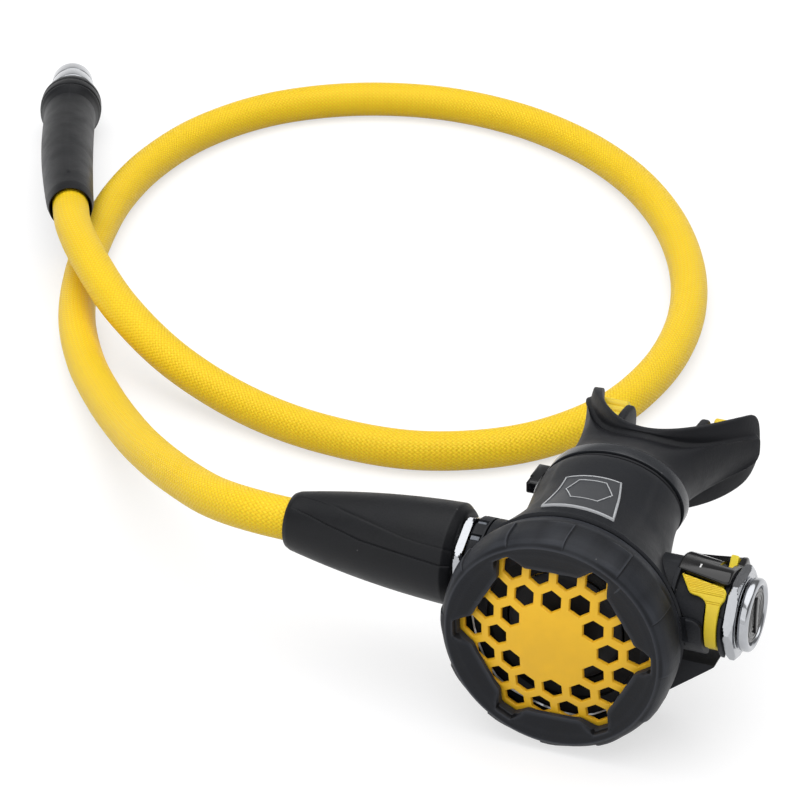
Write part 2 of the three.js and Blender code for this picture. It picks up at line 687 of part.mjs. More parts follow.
const ringX = (x, middle, wire, segments = 14) =>
  aboutX(new THREE.TorusGeometry(middle, wire, 5, segments).rotateX(Math.PI / 2).translate(0, x, 0));

function poppet() {
  const stem = POPPET_STEM;
  return aboutX(
    turned([
      [POPPET_LEFT, 0],
      [POPPET_LEFT, 4.4],
      [POPPET_LEFT + 4, 4.4],
      [POPPET_LEFT + 5, stem],
      [POPPET_COLLAR, stem],
      [POPPET_COLLAR, 4.6],
      [POPPET_COLLAR + 1.6, 4.6],
      [POPPET_COLLAR + 1.6, stem - 0.3],
      [POPPET_RIGHT, stem - 0.3],
      [POPPET_RIGHT, 0],
    ], 28),
  );
}

function poppetSpring() {
  const wire = 0.45;
  const from = POPPET_COLLAR + 1.6 + wire + GAP;
  const to = SPRING_SEAT_LEFT - wire - GAP - SEAT_TRAVEL;
  const turns = 5;
  const count = turns * 8;
  const points = [];
  for (let i = 0; i <= count; i += 1) {
    const angle = (TAU * turns * i) / count;
    points.push(
      new THREE.Vector3(
        from + ((to - from) * i) / count,
        BARREL_Y + 3.5 * Math.cos(angle),
        BARREL_Z + 3.5 * Math.sin(angle),
      ),
    );
  }
  return tubeAlong(points, wire, 5, count);
}

function springSeat() {
  return aboutX(
    turned([
      [SPRING_SEAT_LEFT, POPPET_STEM + 0.2],
      [SPRING_SEAT_LEFT, BARREL_BORE - SLIDE_GAP],
      [SPRING_SEAT_LEFT + SPRING_SEAT_LENGTH, BARREL_BORE - SLIDE_GAP],
      [SPRING_SEAT_LEFT + SPRING_SEAT_LENGTH, POPPET_STEM + 0.2],
    ], 32),
  );
}

// The lever: a hinge pin in the barrel's ears, a toe through the slot behind the poppet's collar, and an arm
// that runs down to a wide foot behind the middle of the diaphragm.
function demandLever() {
  const pinZ = BARREL_Z;
  const pin = new THREE.CylinderGeometry(0.8, 0.8, 8, 16).rotateX(Math.PI / 2);
  pin.translate(LEVER_PIVOT_X, LEVER_PIVOT_Y, pinZ);
  const toe = box(
    LEVER_PIVOT_X - LEVER_WIRE,
    LEVER_PIVOT_X + LEVER_WIRE,
    LEVER_PIVOT_Y,
    LEVER_PIVOT_Y + LEVER_TOE - 0.6,
    pinZ + POPPET_STEM + SLIDE_GAP,
    pinZ + POPPET_STEM + SLIDE_GAP + 1,
  );
  const toeLow = toe.clone().translate(0, 0, -2 * (POPPET_STEM + SLIDE_GAP) - 1);
  const run = new THREE.Shape();
  const footX = LEVER_PIVOT_X - LEVER_ARM;
  run.moveTo(LEVER_PIVOT_X, LEVER_PIVOT_Y - LEVER_WIRE);
  run.lineTo(LEVER_PIVOT_X, LEVER_PIVOT_Y + LEVER_WIRE);
  run.lineTo(footX - 1.5, LEVER_FOOT_Y + LEVER_WIRE);
  run.lineTo(footX - 1.5, LEVER_FOOT_Y - LEVER_WIRE);
  run.lineTo(footX + 1, LEVER_FOOT_Y - LEVER_WIRE);
  run.closePath();
  const strip = new THREE.ExtrudeGeometry(run, { depth: 5, bevelEnabled: false }).translate(0, 0, pinZ - 2.5);
  const foot = box(
    footX - 1.5,
    footX + 1.5,
    LEVER_FOOT_Y - LEVER_WIRE,
    LEVER_FOOT_Y + LEVER_WIRE,
    AXIS_Z - 3,
    pinZ + 2.5,
  );
  return solid(pin).add(solid(toe)).add(solid(toeLow)).add(solid(strip)).add(solid(foot));
}

// ---- dial side --------------------------------------------------------------------------------------

// Fixed black guide: a stepped sleeve between two flanges, with a hood over the top of the turning collar.
function leverHousing() {
  const sleeveRadius = BARREL_RADIUS + GAP + 0.9;
  let housing = solid(
    aboutX(
      turned([
        [HOUSING_LEFT, BARREL_RADIUS + GAP],
        [HOUSING_LEFT, HOUSING_RADIUS],
        [HOUSING_LEFT + FLANGE_THICKNESS, HOUSING_RADIUS],
        [HOUSING_LEFT + FLANGE_THICKNESS, COLLAR_RADIUS],
        [COLLAR_LEFT - SLIDE_GAP, COLLAR_RADIUS],
        [COLLAR_LEFT - SLIDE_GAP, sleeveRadius],
        [HOUSING_RIGHT - FLANGE_THICKNESS, sleeveRadius],
        [HOUSING_RIGHT - FLANGE_THICKNESS, COLLAR_RADIUS],
        [HOUSING_RIGHT, COLLAR_RADIUS],
        [HOUSING_RIGHT, BARREL_RADIUS + GAP],
      ]),
    ),
  );
  const hoodRing = solid(
    aboutX(turned(tube(HOUSING_LEFT, HOUSING_RIGHT, HOUSING_RADIUS, COLLAR_RADIUS + SLIDE_GAP))),
  );
  const hood = hoodRing.intersect(
    solid(sector(LEVER_TOP_DEG + 5, HOOD_TOP_DEG, HOUSING_LEFT, HOUSING_RIGHT, HOUSING_RADIUS * 1.5)),
  );
  housing = housing.add(hood);
  const tabWindow = sector(
    TAB_FROM_DEG - LEVER_TRAVEL_DEG - 4,
    TAB_TO_DEG + 4,
    COLLAR_RIGHT - 3.2,
    COLLAR_RIGHT,
    HOUSING_RADIUS * 1.5,
  );
  const outside = solid(aboutX(turned(tube(HOUSING_LEFT, HOUSING_RIGHT, 30, COLLAR_RADIUS + 0.1))));
  housing = housing.subtract(solid(tabWindow).intersect(outside));
  return housing.subtract(caseOutside(GAP, false)).subtract(ringSpace());
}

// Room that the front ring takes, with a clearance.
const ringSpace = () => solid(aboutY(turned(rod(-2, RING_DEPTH + GAP, RING_RADIUS + GAP), 48)));

// The paddle's outline over the barrel: [x, angle] corners, the angle counted up from the front.
const PADDLE = [
  [27.1, 67.5],
  [38.6, 58],
  [39.5, 55],
  [39.7, 50],
  [39.7, 43],
  [38.9, 36.5],
  [38.8, 24],
  [35.5, 24],
  [35.3, 34],
  [34.5, 38.8],
  [33, 42],
  [30.5, 43.5],
];

function airflowLever() {
  const inner = COLLAR_RADIUS + SLIDE_GAP;
  let lever = solid(
    aboutX(turned(tube(COLLAR_LEFT, COLLAR_RIGHT, COLLAR_RADIUS, BARREL_RADIUS + GAP + 0.9 + SLIDE_GAP))),
  );
  const shell = solid(aboutX(turned(tube(HOUSING_LEFT, HOUSING_RIGHT, LEVER_RADIUS, inner))));
  const outline = new THREE.Shape(
    PADDLE.map(([x, deg]) => {
      const away = ((deg - PADDLE_MIDDLE_DEG) * Math.PI) / 180;
      return new THREE.Vector2(x, LEVER_RADIUS * Math.sin(away));
    }),
  );
  const beam = new THREE.ExtrudeGeometry(outline, { depth: 20, bevelEnabled: false });
  beam.rotateX(Math.PI / 2 - (PADDLE_MIDDLE_DEG * Math.PI) / 180).translate(0, BARREL_Y, BARREL_Z);
  const head = shell.intersect(solid(beam));
  const thick = solid(aboutX(turned(tube(35.6, COLLAR_RIGHT, LEVER_RADIUS, COLLAR_RADIUS - 0.4))));
  const stem = thick.intersect(solid(sector(LEVER_LOW_DEG, 40, 35.6, COLLAR_RIGHT, 30)));
  const tabShell = solid(
    aboutX(turned(tube(COLLAR_RIGHT - 2.4, COLLAR_RIGHT - 0.4, HOUSING_RADIUS + 0.9, COLLAR_RADIUS - 0.4))),
  );
  const tab = tabShell.intersect(
    solid(sector(TAB_FROM_DEG, TAB_TO_DEG, COLLAR_RIGHT - 2.6, COLLAR_RIGHT - 0.4, 30)),
  );
  lever = lever.add(head).add(stem).add(tab);
  return lever;
}

function barrelNut() {
  const body = solid(hexagonX(NUT_LEFT, NUT_LEFT + NUT_THICKNESS, NUT_RADIUS));
  const chamfer = solid(
    aboutX(
      turned([
        [NUT_LEFT, 0],
        [NUT_LEFT, NUT_RADIUS - 0.6],
        [NUT_LEFT + 0.8, NUT_RADIUS + 0.1],
        [NUT_LEFT + NUT_THICKNESS - 0.8, NUT_RADIUS + 0.1],
        [NUT_LEFT + NUT_THICKNESS, NUT_RADIUS - 0.9],
        [NUT_LEFT + NUT_THICKNESS, 0],
      ]),
    ),
  );
  return body.intersect(chamfer).subtract(solid(aboutX(turned(rod(30, 60, DIAL_SHAFT + SLIDE_GAP), 32))));
}

function adjusterDial() {
  const shaftLeft = SPRING_SEAT_LEFT + SPRING_SEAT_LENGTH + GAP;
  const lip = 1.5;
  return aboutX(
    turned([
      [shaftLeft, 0],
      [shaftLeft, DIAL_SHAFT],
      [DIAL_LEFT, DIAL_SHAFT],
      [DIAL_LEFT, DIAL_RADIUS - 0.8],
      [DIAL_LEFT + 0.6, DIAL_RADIUS],
      [DIAL_RIGHT - 0.7, DIAL_RADIUS],
      [DIAL_RIGHT, DIAL_RADIUS - 0.7],
      [DIAL_RIGHT, DIAL_FACE_RADIUS + 0.4],
      [DIAL_RIGHT - lip, DIAL_FACE_RADIUS],
      [DIAL_RIGHT - lip, 0],
    ]),
  );
}

function dialFace() {
  const left = DIAL_RIGHT - 1.5 + GAP;
  const disc = solid(aboutX(turned(rod(left, left + 0.6, DIAL_FACE_RADIUS - GAP), 40)));
  const grip = box(left, left + 1.0, BARREL_Y - 0.9, BARREL_Y + 0.9, BARREL_Z - 5.4, BARREL_Z + 5.4);
  return disc.add(solid(grip));
}

// ---- hose side --------------------------------------------------------------------------------------
// Fixed black collar between the case and the swivel nut, with slots round its edge.
function inletCollar() {
  const left = SWIVEL_RIGHT + SLIDE_GAP;
  const right = -24.4;
  let collar = solid(
    aboutX(
      turned([
        [left, INLET_THREAD_RADIUS + GAP],
        [left, COLLAR_FACE_RADIUS - 0.7],
        [left + 0.7, COLLAR_FACE_RADIUS],
        [right, COLLAR_FACE_RADIUS],
        [right, INLET_THREAD_RADIUS + GAP],
      ]),
    ),
  );
  collar = collar.subtract(solid(aboutX(turned(rod(-25.6 - GAP, 0, BARREL_RADIUS + GAP), 32))));
  const slots = 12;
  for (let i = 0; i < slots; i += 1) {
    const slot = box(left - 1, left + 3.2, -1, 1, COLLAR_FACE_RADIUS - 0.9, COLLAR_FACE_RADIUS + 1);
    slot.rotateX((i * TAU) / slots).translate(0, BARREL_Y, BARREL_Z);
    collar = collar.subtract(solid(slot));
  }
  const withBosses = caseOutside(GAP, false).add(
    solid(aboutX(turned(rod(-(BOWL_RADIUS - 4.6) - GAP, 0, BOSS_RADIUS + GAP)))),
  );
  return collar.subtract(withBosses).subtract(ringSpace());
}

function swivelNut() {
  const hex = solid(hexagonX(SWIVEL_HEX_LEFT, SWIVEL_RIGHT, SWIVEL_RADIUS));
  const round = solid(
    aboutX(
      turned([
        [SWIVEL_HEX_LEFT - 0.2, 0],
        [SWIVEL_HEX_LEFT - 0.2, SWIVEL_RADIUS - 0.4],
        [SWIVEL_HEX_LEFT + 0.7, SWIVEL_RADIUS + 0.1],
        [SWIVEL_RIGHT - 0.7, SWIVEL_RADIUS + 0.1],
        [SWIVEL_RIGHT, SWIVEL_RADIUS - 0.8],
        [SWIVEL_RIGHT, 0],
      ]),
    ),
  );
  const skirt = solid(
    aboutX(turned(rod(SWIVEL_RIGHT - SWIVEL_LENGTH, SWIVEL_HEX_LEFT + 0.5, SWIVEL_BODY_RADIUS))),
  );
  const shoulder = STEM_FLANGE_RIGHT - STEM_FLANGE - SLIDE_GAP;
  const bore = solid(
    aboutX(
      turned([
        [-60, 0],
        [-60, STEM_NECK + SLIDE_GAP],
        [shoulder, STEM_NECK + SLIDE_GAP],
        [shoulder, INLET_THREAD_RADIUS + SLIDE_GAP],
        [0, INLET_THREAD_RADIUS + SLIDE_GAP],
        [0, 0],
      ]),
    ),
  );
  return hex.intersect(round).add(skirt).subtract(bore);
}

// Hose tail with its crimped ferrule: the hose ends inside it, the nose seals in the barrel.
function hoseStem() {
  const nose = INLET_BORE - GAP;
  const groove = STEM_TIP - 3.2;
  const ferruleRight = SWIVEL_RIGHT - SWIVEL_LENGTH - 0.8;
  const ferruleLeft = HOSE_START - 12;
  const socket = HOSE_RADIUS + GAP;
  return aboutX(
    turned([
      [HOSE_START + GAP, 2.0],
      [HOSE_START + GAP, socket],
      [ferruleLeft, socket],
      [ferruleLeft, socket + FERRULE_WALL],
      [ferruleRight, socket + FERRULE_WALL],
      [ferruleRight, STEM_NECK],
      [STEM_FLANGE_RIGHT - STEM_FLANGE, STEM_NECK],
      [STEM_FLANGE_RIGHT - STEM_FLANGE, INLET_THREAD_RADIUS - 0.3],
      [STEM_FLANGE_RIGHT, INLET_THREAD_RADIUS - 0.3],
      [STEM_FLANGE_RIGHT, nose],
      [groove, nose],
      [groove, nose - 1.3],
      [groove + 1.9, nose - 1.3],
      [groove + 1.9, nose],
      [STEM_TIP, nose],
      [STEM_TIP, 2.0],
    ]),
  );
}

// Rubber sleeve over the inlet end: a bowed cone, wide over the nut and close round the hose.
function inletSleeve() {
  const outside = [];
  const steps = 8;
  for (let i = 0; i <= steps; i += 1) {
    const t = i / steps;
    const along = SLEEVE_LEFT + 1.2 + (SLEEVE_LENGTH - 3.4) * t;
    const cone = SLEEVE_MOUTH_RADIUS + (SLEEVE_NUT_RADIUS - SLEEVE_MOUTH_RADIUS) * t;
    outside.push([along, cone + SLEEVE_BULGE * 4 * t * (1 - t)]);
  }
  const grip = HOSE_RADIUS + GAP + FERRULE_WALL + GAP;
  const ferruleLeft = HOSE_START - 12;
  return aboutX(
    turned([
      [SLEEVE_LEFT, HOSE_RADIUS + 1.2],
      [SLEEVE_LEFT, SLEEVE_MOUTH_RADIUS - 0.6],
      ...outside,
      [SLEEVE_RIGHT, SLEEVE_NUT_RADIUS - 1.8],
      [SLEEVE_RIGHT, SWIVEL_BODY_RADIUS + SLIDE_GAP],
      [SWIVEL_RIGHT - SWIVEL_LENGTH - 0.5, SWIVEL_BODY_RADIUS + SLIDE_GAP],
      [SWIVEL_RIGHT - SWIVEL_LENGTH - 0.5, grip],
      [ferruleLeft - 0.5, grip],
      [ferruleLeft - 0.5, HOSE_RADIUS + GAP],
      [SLEEVE_LEFT + 8, HOSE_RADIUS + GAP],
    ]),
  );
}

// ---- hose and its outlet end ------------------------------------------------------------------------
const outletAxis = OUTLET_TIP.clone().sub(OUTLET_MOUTH).normalize();
const onOutlet = (distance) => OUTLET_MOUTH.clone().addScaledVector(outletAxis, distance);
function alongOutlet(profile, segments = SEGMENTS) {
  const turn = new THREE.Quaternion().setFromUnitVectors(new THREE.Vector3(0, 1, 0), outletAxis);
  return turned(profile, segments).applyQuaternion(turn).translate(...OUTLET_MOUTH.toArray());
}

function hose() {
  const route = [...HOSE_ROUTE, onOutlet(0), onOutlet(20), onOutlet(46), onOutlet(HOSE_END)];
  return tubeAlong(route, HOSE_RADIUS, HOSE_SIDES, HOSE_STEPS);
}

function outletSleeve() {
  const r = OUTLET_SLEEVE_RADIUS;
  const flange = OUTLET_SLEEVE_LENGTH;
  const grip = HOSE_RADIUS + GAP + FERRULE_WALL + GAP;
  return alongOutlet([
    [0, HOSE_RADIUS + 1.1],
    [0, r - 1.2],
    [2, r - 0.5],
    [14, r],
    [50, r + 0.1],
    [flange - 14, r + 0.2],
    [flange - 8, r + 0.7],
    [flange - 4.5, OUTLET_FLANGE_RADIUS],
    [flange + 2.2, OUTLET_FLANGE_RADIUS],
    [flange + 2.8, OUTLET_FLANGE_RADIUS - 0.7],
    [flange + 3.6, OUTLET_FLANGE_RADIUS - 0.3],
    [flange + 9, OUTLET_FLANGE_RADIUS - 1.9],
    [flange + 9, FITTING_HEX_ROUND + GAP],
    [OUTLET_FERRULE_TO + 0.5, FITTING_HEX_ROUND + GAP],
    [OUTLET_FERRULE_TO + 0.5, grip],
    [OUTLET_FERRULE_FROM - 0.5, grip],
    [OUTLET_FERRULE_FROM - 0.5, HOSE_RADIUS + GAP],
    [10, HOSE_RADIUS + GAP],
  ]);
}

// Ferrule, round body inside the sleeve, flange, tapered shoulder and the threaded tail for the first stage.
function firstStageFitting() {
  const socket = HOSE_RADIUS + GAP;
  const shoulder = OUTLET_SLEEVE_LENGTH + 9;
  const tail = shoulder + FITTING_LENGTH;
  const t = FITTING_THREAD_RADIUS;
  return alongOutlet([
    [HOSE_END + GAP, 2.0],
    [HOSE_END + GAP, socket],
    [OUTLET_FERRULE_FROM, socket],
    [OUTLET_FERRULE_FROM, socket + FERRULE_WALL],
    [OUTLET_FERRULE_TO, socket + FERRULE_WALL],
    [OUTLET_FERRULE_TO, FITTING_HEX_ROUND - 0.4],
    [shoulder + 1.4, FITTING_HEX_ROUND - 0.4],
    [shoulder + 2.6, t + 0.6],
    [shoulder + 2.6, t - 0.9],
    [shoulder + 4.4, t - 0.9],
    [shoulder + 4.4, t],
    [tail - 3.4, t],
    [tail - 2.8, t - 1.2],
    [tail - 1.3, t - 1.2],
    [tail - 1.3, t - 0.7],
    [tail, t - 1.1],
    [tail, 2.0],
  ]);
}
const outletRing = (distance, middle, wire) => {
  const turn = new THREE.Quaternion().setFromUnitVectors(new THREE.Vector3(0, 1, 0), outletAxis);
  const ring = new THREE.TorusGeometry(middle, wire, 5, 14).rotateX(Math.PI / 2).translate(0, distance, 0);
  return ring.applyQuaternion(turn).translate(...OUTLET_MOUTH.toArray());
};

// ---- exhaust ----------------------------------------------------------------------------------------
function teeOutline(inset) {
  const shape = new THREE.Shape();
  const low = inset;
  const tipX = TEE_WING_X - inset;
  const drop = inset * 1.2;
  shape.moveTo(-TEE_FOOT_HALF, low);
  shape.lineTo(TEE_FOOT_HALF, low);
  shape.lineTo(tipX - 2.4, TEE_TIP_LOW + drop);
  shape.lineTo(tipX, TEE_TIP_HIGH - inset);
  shape.lineTo(TEE_TOP_INNER_X, TEE_TIP_HIGH - inset);
  shape.lineTo(TEE_TOP_INNER_X - 7, TEE_TIP_HIGH - inset - 1);
  shape.lineTo(-TEE_TOP_INNER_X + 7, TEE_TIP_HIGH - inset - 1);
  shape.lineTo(-TEE_TOP_INNER_X, TEE_TIP_HIGH - inset);
  shape.lineTo(-tipX, TEE_TIP_HIGH - inset);
  shape.lineTo(-tipX + 2.4, TEE_TIP_LOW + drop);
  shape.closePath();
  return shape;
}

function exhaustTee() {
  let tee = solid(plateXZ(teeOutline(0), TEE_FRONT, TEE_REAR));
  const valveRoom = PORT_FACE + GAP + VALVE_THICKNESS + 1 + VALVE_LIFT + GAP;
  const roof = caseOutside(GAP, false)
    .add(solid(alongPort(rod(-8, PORT_FACE + GAP, VALVE_RADIUS + 1.2 + GAP))))
    .add(solid(alongPort(rod(0, valveRoom, VALVE_RADIUS + GAP))));
  const hollow = solid(plateXZ(teeOutline(TEE_WALL), TEE_FRONT + TEE_WALL, TEE_REAR - TEE_WALL));
  tee = tee.subtract(hollow);
  for (const side of [-1, 1]) {
    const [x0, x1] = [side * 22, side * (TEE_WING_X - 3.4)].sort((a, b) => a - b);
    const outlet = box(x0, x1, TEE_REAR - 4, TEE_REAR + 4, TEE_TIP_LOW - 2, TEE_TIP_HIGH - TEE_WALL);
    tee = tee.subtract(solid(outlet));
  }
  const barrelRoom = aboutX(turned(rod(-60, 60, HOUSING_RADIUS + SLIDE_GAP)));
  return tee.subtract(roof).subtract(ringSpace()).subtract(solid(barrelRoom));
}

function exhaustValve() {
  const from = PORT_FACE + GAP;
  return alongPort([
    [from, 0],
    [from, VALVE_RADIUS],
    [from + 0.3, VALVE_RADIUS],
    [from + VALVE_THICKNESS, VALVE_RADIUS - 1],
    [from + VALVE_THICKNESS, 1.2],
    [from + VALVE_THICKNESS + 1, 1.0],
    [from + VALVE_THICKNESS + 1, 0],
  ]);
}

// ---- mouthpiece -------------------------------------------------------------------------------------
// A point on the flange's domed face: angle round the curve, height, and how far outside the face.
function onFlange(angle, height, lift = 0) {
  const rise = height - FLANGE_Z;
  const out = lift + FLANGE_BULGE * Math.max(0, 1 - (rise / (rise > 0 ? FLANGE_UP : FLANGE_DOWN)) ** 2);
  const x = FLANGE_X + (FLANGE_WIDTH + out) * Math.sin(angle);
  const y = FLANGE_Y - out + (FLANGE_DEPTH + out) * (1 - Math.cos(angle));
  return new THREE.Vector3(x, y, height);
}

// The flange's edge in the direction psi round the airway: a squarish top, a rounder bottom.
function flangeEdge(psi, inset, out) {
  const [c, s] = [Math.cos(psi), Math.sin(psi)];
  const power = s > 0 ? 6 : 2;
  const reach = 1 / (Math.abs(c) ** power + Math.abs(s) ** power) ** (1 / power);
  const half = (FLANGE_REACH_DEG * Math.PI) / 180 - inset / FLANGE_WIDTH;
  const rise = (s > 0 ? FLANGE_UP : FLANGE_DOWN) - inset;
  return onFlange(half * reach * c, FLANGE_Z + rise * reach * s, out);
}

// The filled outside of the mouthpiece: collar, flared neck, flange edge, closed by a point far behind.
function mouthOutside() {
  const around = 32;
  const collar = SPIGOT_RADIUS + GAP + MOUTH_COLLAR_WALL;
  const flare = 5;
  const rings = [];
  const collarRing = (y) => (psi) =>
    new THREE.Vector3(collar * Math.cos(psi), y, MOUTH_Z + collar * Math.sin(psi));
  rings.push(collarRing(NECK_END + GAP), collarRing(MOUTH_NECK_Y));
  for (let k = 1; k <= flare; k += 1) {
    rings.push((psi) => {
      const t = k / flare;
      const from = collarRing(MOUTH_NECK_Y)(psi);
      const to = flangeEdge(psi, FLANGE_BAND, 0.8);
      const late = t ** (1.3 + 0.4 * Math.cos(psi) ** 2);
      const narrow = 1 - (MOUTH_WAIST / collar) * Math.sin(Math.PI * t ** 0.65);
      const centre = MOUTH_Z + (FLANGE_Z - MOUTH_Z) * t;
      return new THREE.Vector3(
        (from.x + (to.x - from.x) * late) * narrow,
        from.y + (to.y - from.y) * t,
        centre + (from.z + (to.z - from.z) * late - centre) * narrow,
      );
    });
  }
  rings.push((psi) => flangeEdge(psi, 0, 0));
  const position = [];
  for (const ring of rings) {
    for (let i = 0; i < around; i += 1) position.push(...ring((i * TAU) / around).toArray());
  }
  const front = position.length / 3;
  position.push(0, NECK_END + GAP, MOUTH_Z, 0, FLANGE_Y + 60, FLANGE_Z);
  const index = [];
  for (let i = 0; i < around; i += 1) {
    const next = (i + 1) % around;
    index.push(front, next, i);
    for (let k = 0; k + 1 < rings.length; k += 1) {
      const [a, b] = [k * around + i, k * around + next];
      index.push(a, b, a + around, b, b + around, a + around);
    }
    const last = (rings.length - 1) * around;
    index.push(last + i, last + next, front + 1);
  }
  const geometry = new THREE.BufferGeometry();
  geometry.setAttribute('position', new THREE.Float32BufferAttribute(position, 3));
  geometry.setIndex(index);
  return solid(geometry);
}

// Everything behind the flange's inner face: the same domed curve, one wall further in, run out to the rear.
function behindFlange(wall) {
  const steps = 14;
  const levels = 7;
  const position = [];
  for (let k = 0; k <= levels; k += 1) {
    const height = FLANGE_Z - FLANGE_DOWN - 2 + ((FLANGE_UP + FLANGE_DOWN + 4) * k) / levels;
    for (let i = 0; i <= steps; i += 1) {
      const point = onFlange((-0.5 + i / steps) * Math.PI, height, -wall);
      position.push(...point.toArray());
    }
    const [left, right] = [-0.5, 0.5].map((turn) => onFlange(turn * Math.PI, height, -wall).x);
    position.push(right, FLANGE_Y + 80, height, left, FLANGE_Y + 80, height);
  }
  const around = steps + 3;
  const index = [];
  const bottom = position.length / 3;
  position.push(0, FLANGE_Y + 40, FLANGE_Z - FLANGE_DOWN - 2, 0, FLANGE_Y + 40, FLANGE_Z + FLANGE_UP + 2);
  for (let i = 0; i < around; i += 1) {
    const next = (i + 1) % around;
    index.push(bottom, next, i);
    for (let k = 0; k < levels; k += 1) {
      const [a, b] = [k * around + i, k * around + next];
      index.push(a, b, a + around, b, b + around, a + around);
    }
    index.push(levels * around + i, levels * around + next, bottom + 1);
  }
  const geometry = new THREE.BufferGeometry();
  geometry.setAttribute('position', new THREE.Float32BufferAttribute(position, 3));
  geometry.setIndex(index);
  return solid(geometry);
}

// How far the room inside the flange reaches to one side at a depth.
function insideWing(y, side) {
  const out = FLANGE_BULGE * 0.7 - FLANGE_WALL;
  const rise = (y - FLANGE_Y + out) / (FLANGE_DEPTH + out);
  return side * FLANGE_X + (FLANGE_WIDTH + out) * Math.sqrt(Math.max(0, 1 - Math.max(0, 1 - rise) ** 2));
}

function mouthpiece() {
  let body = mouthOutside().subtract(behindFlange(FLANGE_WALL));
  // Upright lugs for the teeth, each with a web that runs forward into the flange.
  const room = behindFlange(FLANGE_WALL * 0.6);
  for (const side of [-1, 1]) {
    const [x0, x1] = [side * LUG_X, side * (LUG_X + LUG_THICKNESS)].sort((a, b) => a - b);
    const lug = new THREE.Shape();
    lug.moveTo(FLANGE_Y, PAD_Z - 3.5);
    lug.lineTo(LUG_FRONT + 2, LUG_BOTTOM + 1);
    lug.lineTo(LUG_REAR - 3, LUG_BOTTOM);
    lug.lineTo(LUG_REAR, LUG_BOTTOM + 4);
    lug.lineTo(LUG_REAR, LUG_TOP - 1.5);
    lug.lineTo(LUG_REAR - 2, LUG_TOP);
    lug.lineTo(LUG_FRONT + 3, LUG_TOP + 1.4);
    lug.lineTo(FLANGE_Y, PAD_Z + 2);
    lug.closePath();
    const plate = new THREE.ExtrudeGeometry(lug, { depth: x1 - x0, bevelEnabled: false });
    plate.rotateX(Math.PI / 2).rotateZ(Math.PI / 2).translate(x0, 0, 0);
    const [w0, w1] = [side * LUG_X, side * FLANGE_WIDTH].sort((a, b) => a - b);
    const web = box(w0, w1, FLANGE_Y, LUG_FRONT + 2, PAD_Z - 3, PAD_Z + 1);
    body = body.add(solid(plate).add(solid(web)).intersect(room));
  }
  const collar = SPIGOT_RADIUS + GAP + MOUTH_COLLAR_WALL;
  const groove = turned(tube(TIE_Y - GAP, TIE_Y + TIE_WIDTH + GAP, collar + 2, collar - 0.5));
  body = body.subtract(solid(groove.translate(0, 0, MOUTH_Z)));
  const bore = turned(rod(NECK_END - 2, SPIGOT_END + GAP, SPIGOT_RADIUS + GAP)).translate(0, 0, MOUTH_Z);
  const airway = new THREE.CylinderGeometry(1, 1, 1, 28, 4).scale(AIRWAY_HALF_WIDTH, 22, AIRWAY_HALF_HEIGHT);
  raised(airway.translate(0, SPIGOT_END + 10, MOUTH_Z), airwayLift);
  return body.subtract(solid(bore)).subtract(solid(airway));
}
// The airway climbs from the collar's middle to the flange's.
const airwayLift = (y) =>
  (FLANGE_Z - MOUTH_Z) * Math.min(1, Math.max(0, (y - SPIGOT_END) / (FLANGE_Y - SPIGOT_END)));

// Ribbed yellow pad that the teeth bite on: rods side by side from the flange's wing to the lug.
function bitePad(side) {
  const inner = LUG_X + LUG_THICKNESS + GAP;
  let pad = null;
  for (let i = 0; i < PAD_RODS; i += 1) {
    const y = LUG_FRONT + 2 + GAP + PAD_ROD_RADIUS + i * PAD_ROD_PITCH;
    const outer = insideWing(y - PAD_ROD_RADIUS, side) - GAP;
    const bar = new THREE.CylinderGeometry(PAD_ROD_RADIUS, PAD_ROD_RADIUS, outer - inner, 12);
    bar.rotateZ(Math.PI / 2).translate((side * (inner + outer)) / 2, y, PAD_Z);
    pad = pad ? pad.add(solid(bar)) : solid(bar);
  }
  return pad;
}

function mouthpieceTie() {
  const inner = SPIGOT_RADIUS + GAP + MOUTH_COLLAR_WALL - 0.5 + GAP;
  return turned(tube(TIE_Y, TIE_Y + TIE_WIDTH, inner + TIE_THICKNESS, inner), 36).translate(0, 0, MOUTH_Z);
}

// The tie's lock: a small block on its left, lying forward along the neck.
function tieHead() {
  const block = box(-21.6, -17.4, TIE_Y - 7.5, TIE_Y + TIE_WIDTH - 0.6, MOUTH_Z + 6.6, MOUTH_Z + 10.4);
  const tieOuter = SPIGOT_RADIUS + GAP + MOUTH_COLLAR_WALL - 0.5 + GAP + TIE_THICKNESS + GAP;
  const bandRoom = turned(rod(NECK_END - 0.5, TIE_Y + TIE_WIDTH + 3, Math.max(tieOuter, 19)));
  bandRoom.translate(0, 0, MOUTH_Z);
  return solid(block).subtract(caseOutside(GAP, false)).subtract(solid(bandRoom));
}

// ---- the assembly -----------------------------------------------------------------------------------
add('case_body', caseBody(), blackPlastic());
add('front_ring', frontRing(), blackPlastic());
add('purge_cover', purgeCover(), yellowPlastic());
add('purge_spring', purgeSpring(), steel());
add('diaphragm_clamp_ring', clampRing(), blackPlastic());
add('diaphragm_skirt', diaphragmSkirt(), blackRubber());
add('diaphragm_plate', diaphragmPlate(), finish(0x2a2b2e, 0.55));
add('demand_lever', demandLever(), steel());
add('barrel_tube', barrelTube(), brass());
add('orifice_seat', orificeSeat(), brass());
add('orifice_o_ring', ringX(ORIFICE_LEFT + 3, BARREL_BORE - GAP - 0.75, 0.55), seal());
add('poppet_seat', aboutX(turned(rod(SEAT_LEFT, SEAT_LEFT + SEAT_THICKNESS, 4.0), 28)), blackRubber());
add('poppet', poppet(), finish(0xd9d9d4, 0.5));
add('poppet_spring', poppetSpring(), steel());
add('spring_seat', springSeat(), brass());
add('lever_housing', leverHousing(), glossPlastic());
add('airflow_lever', airflowLever(), yellowPlastic());
add('barrel_nut', barrelNut(), chrome());
add('adjuster_dial', adjusterDial(), chrome());
add('dial_face', dialFace(), blackPlastic());
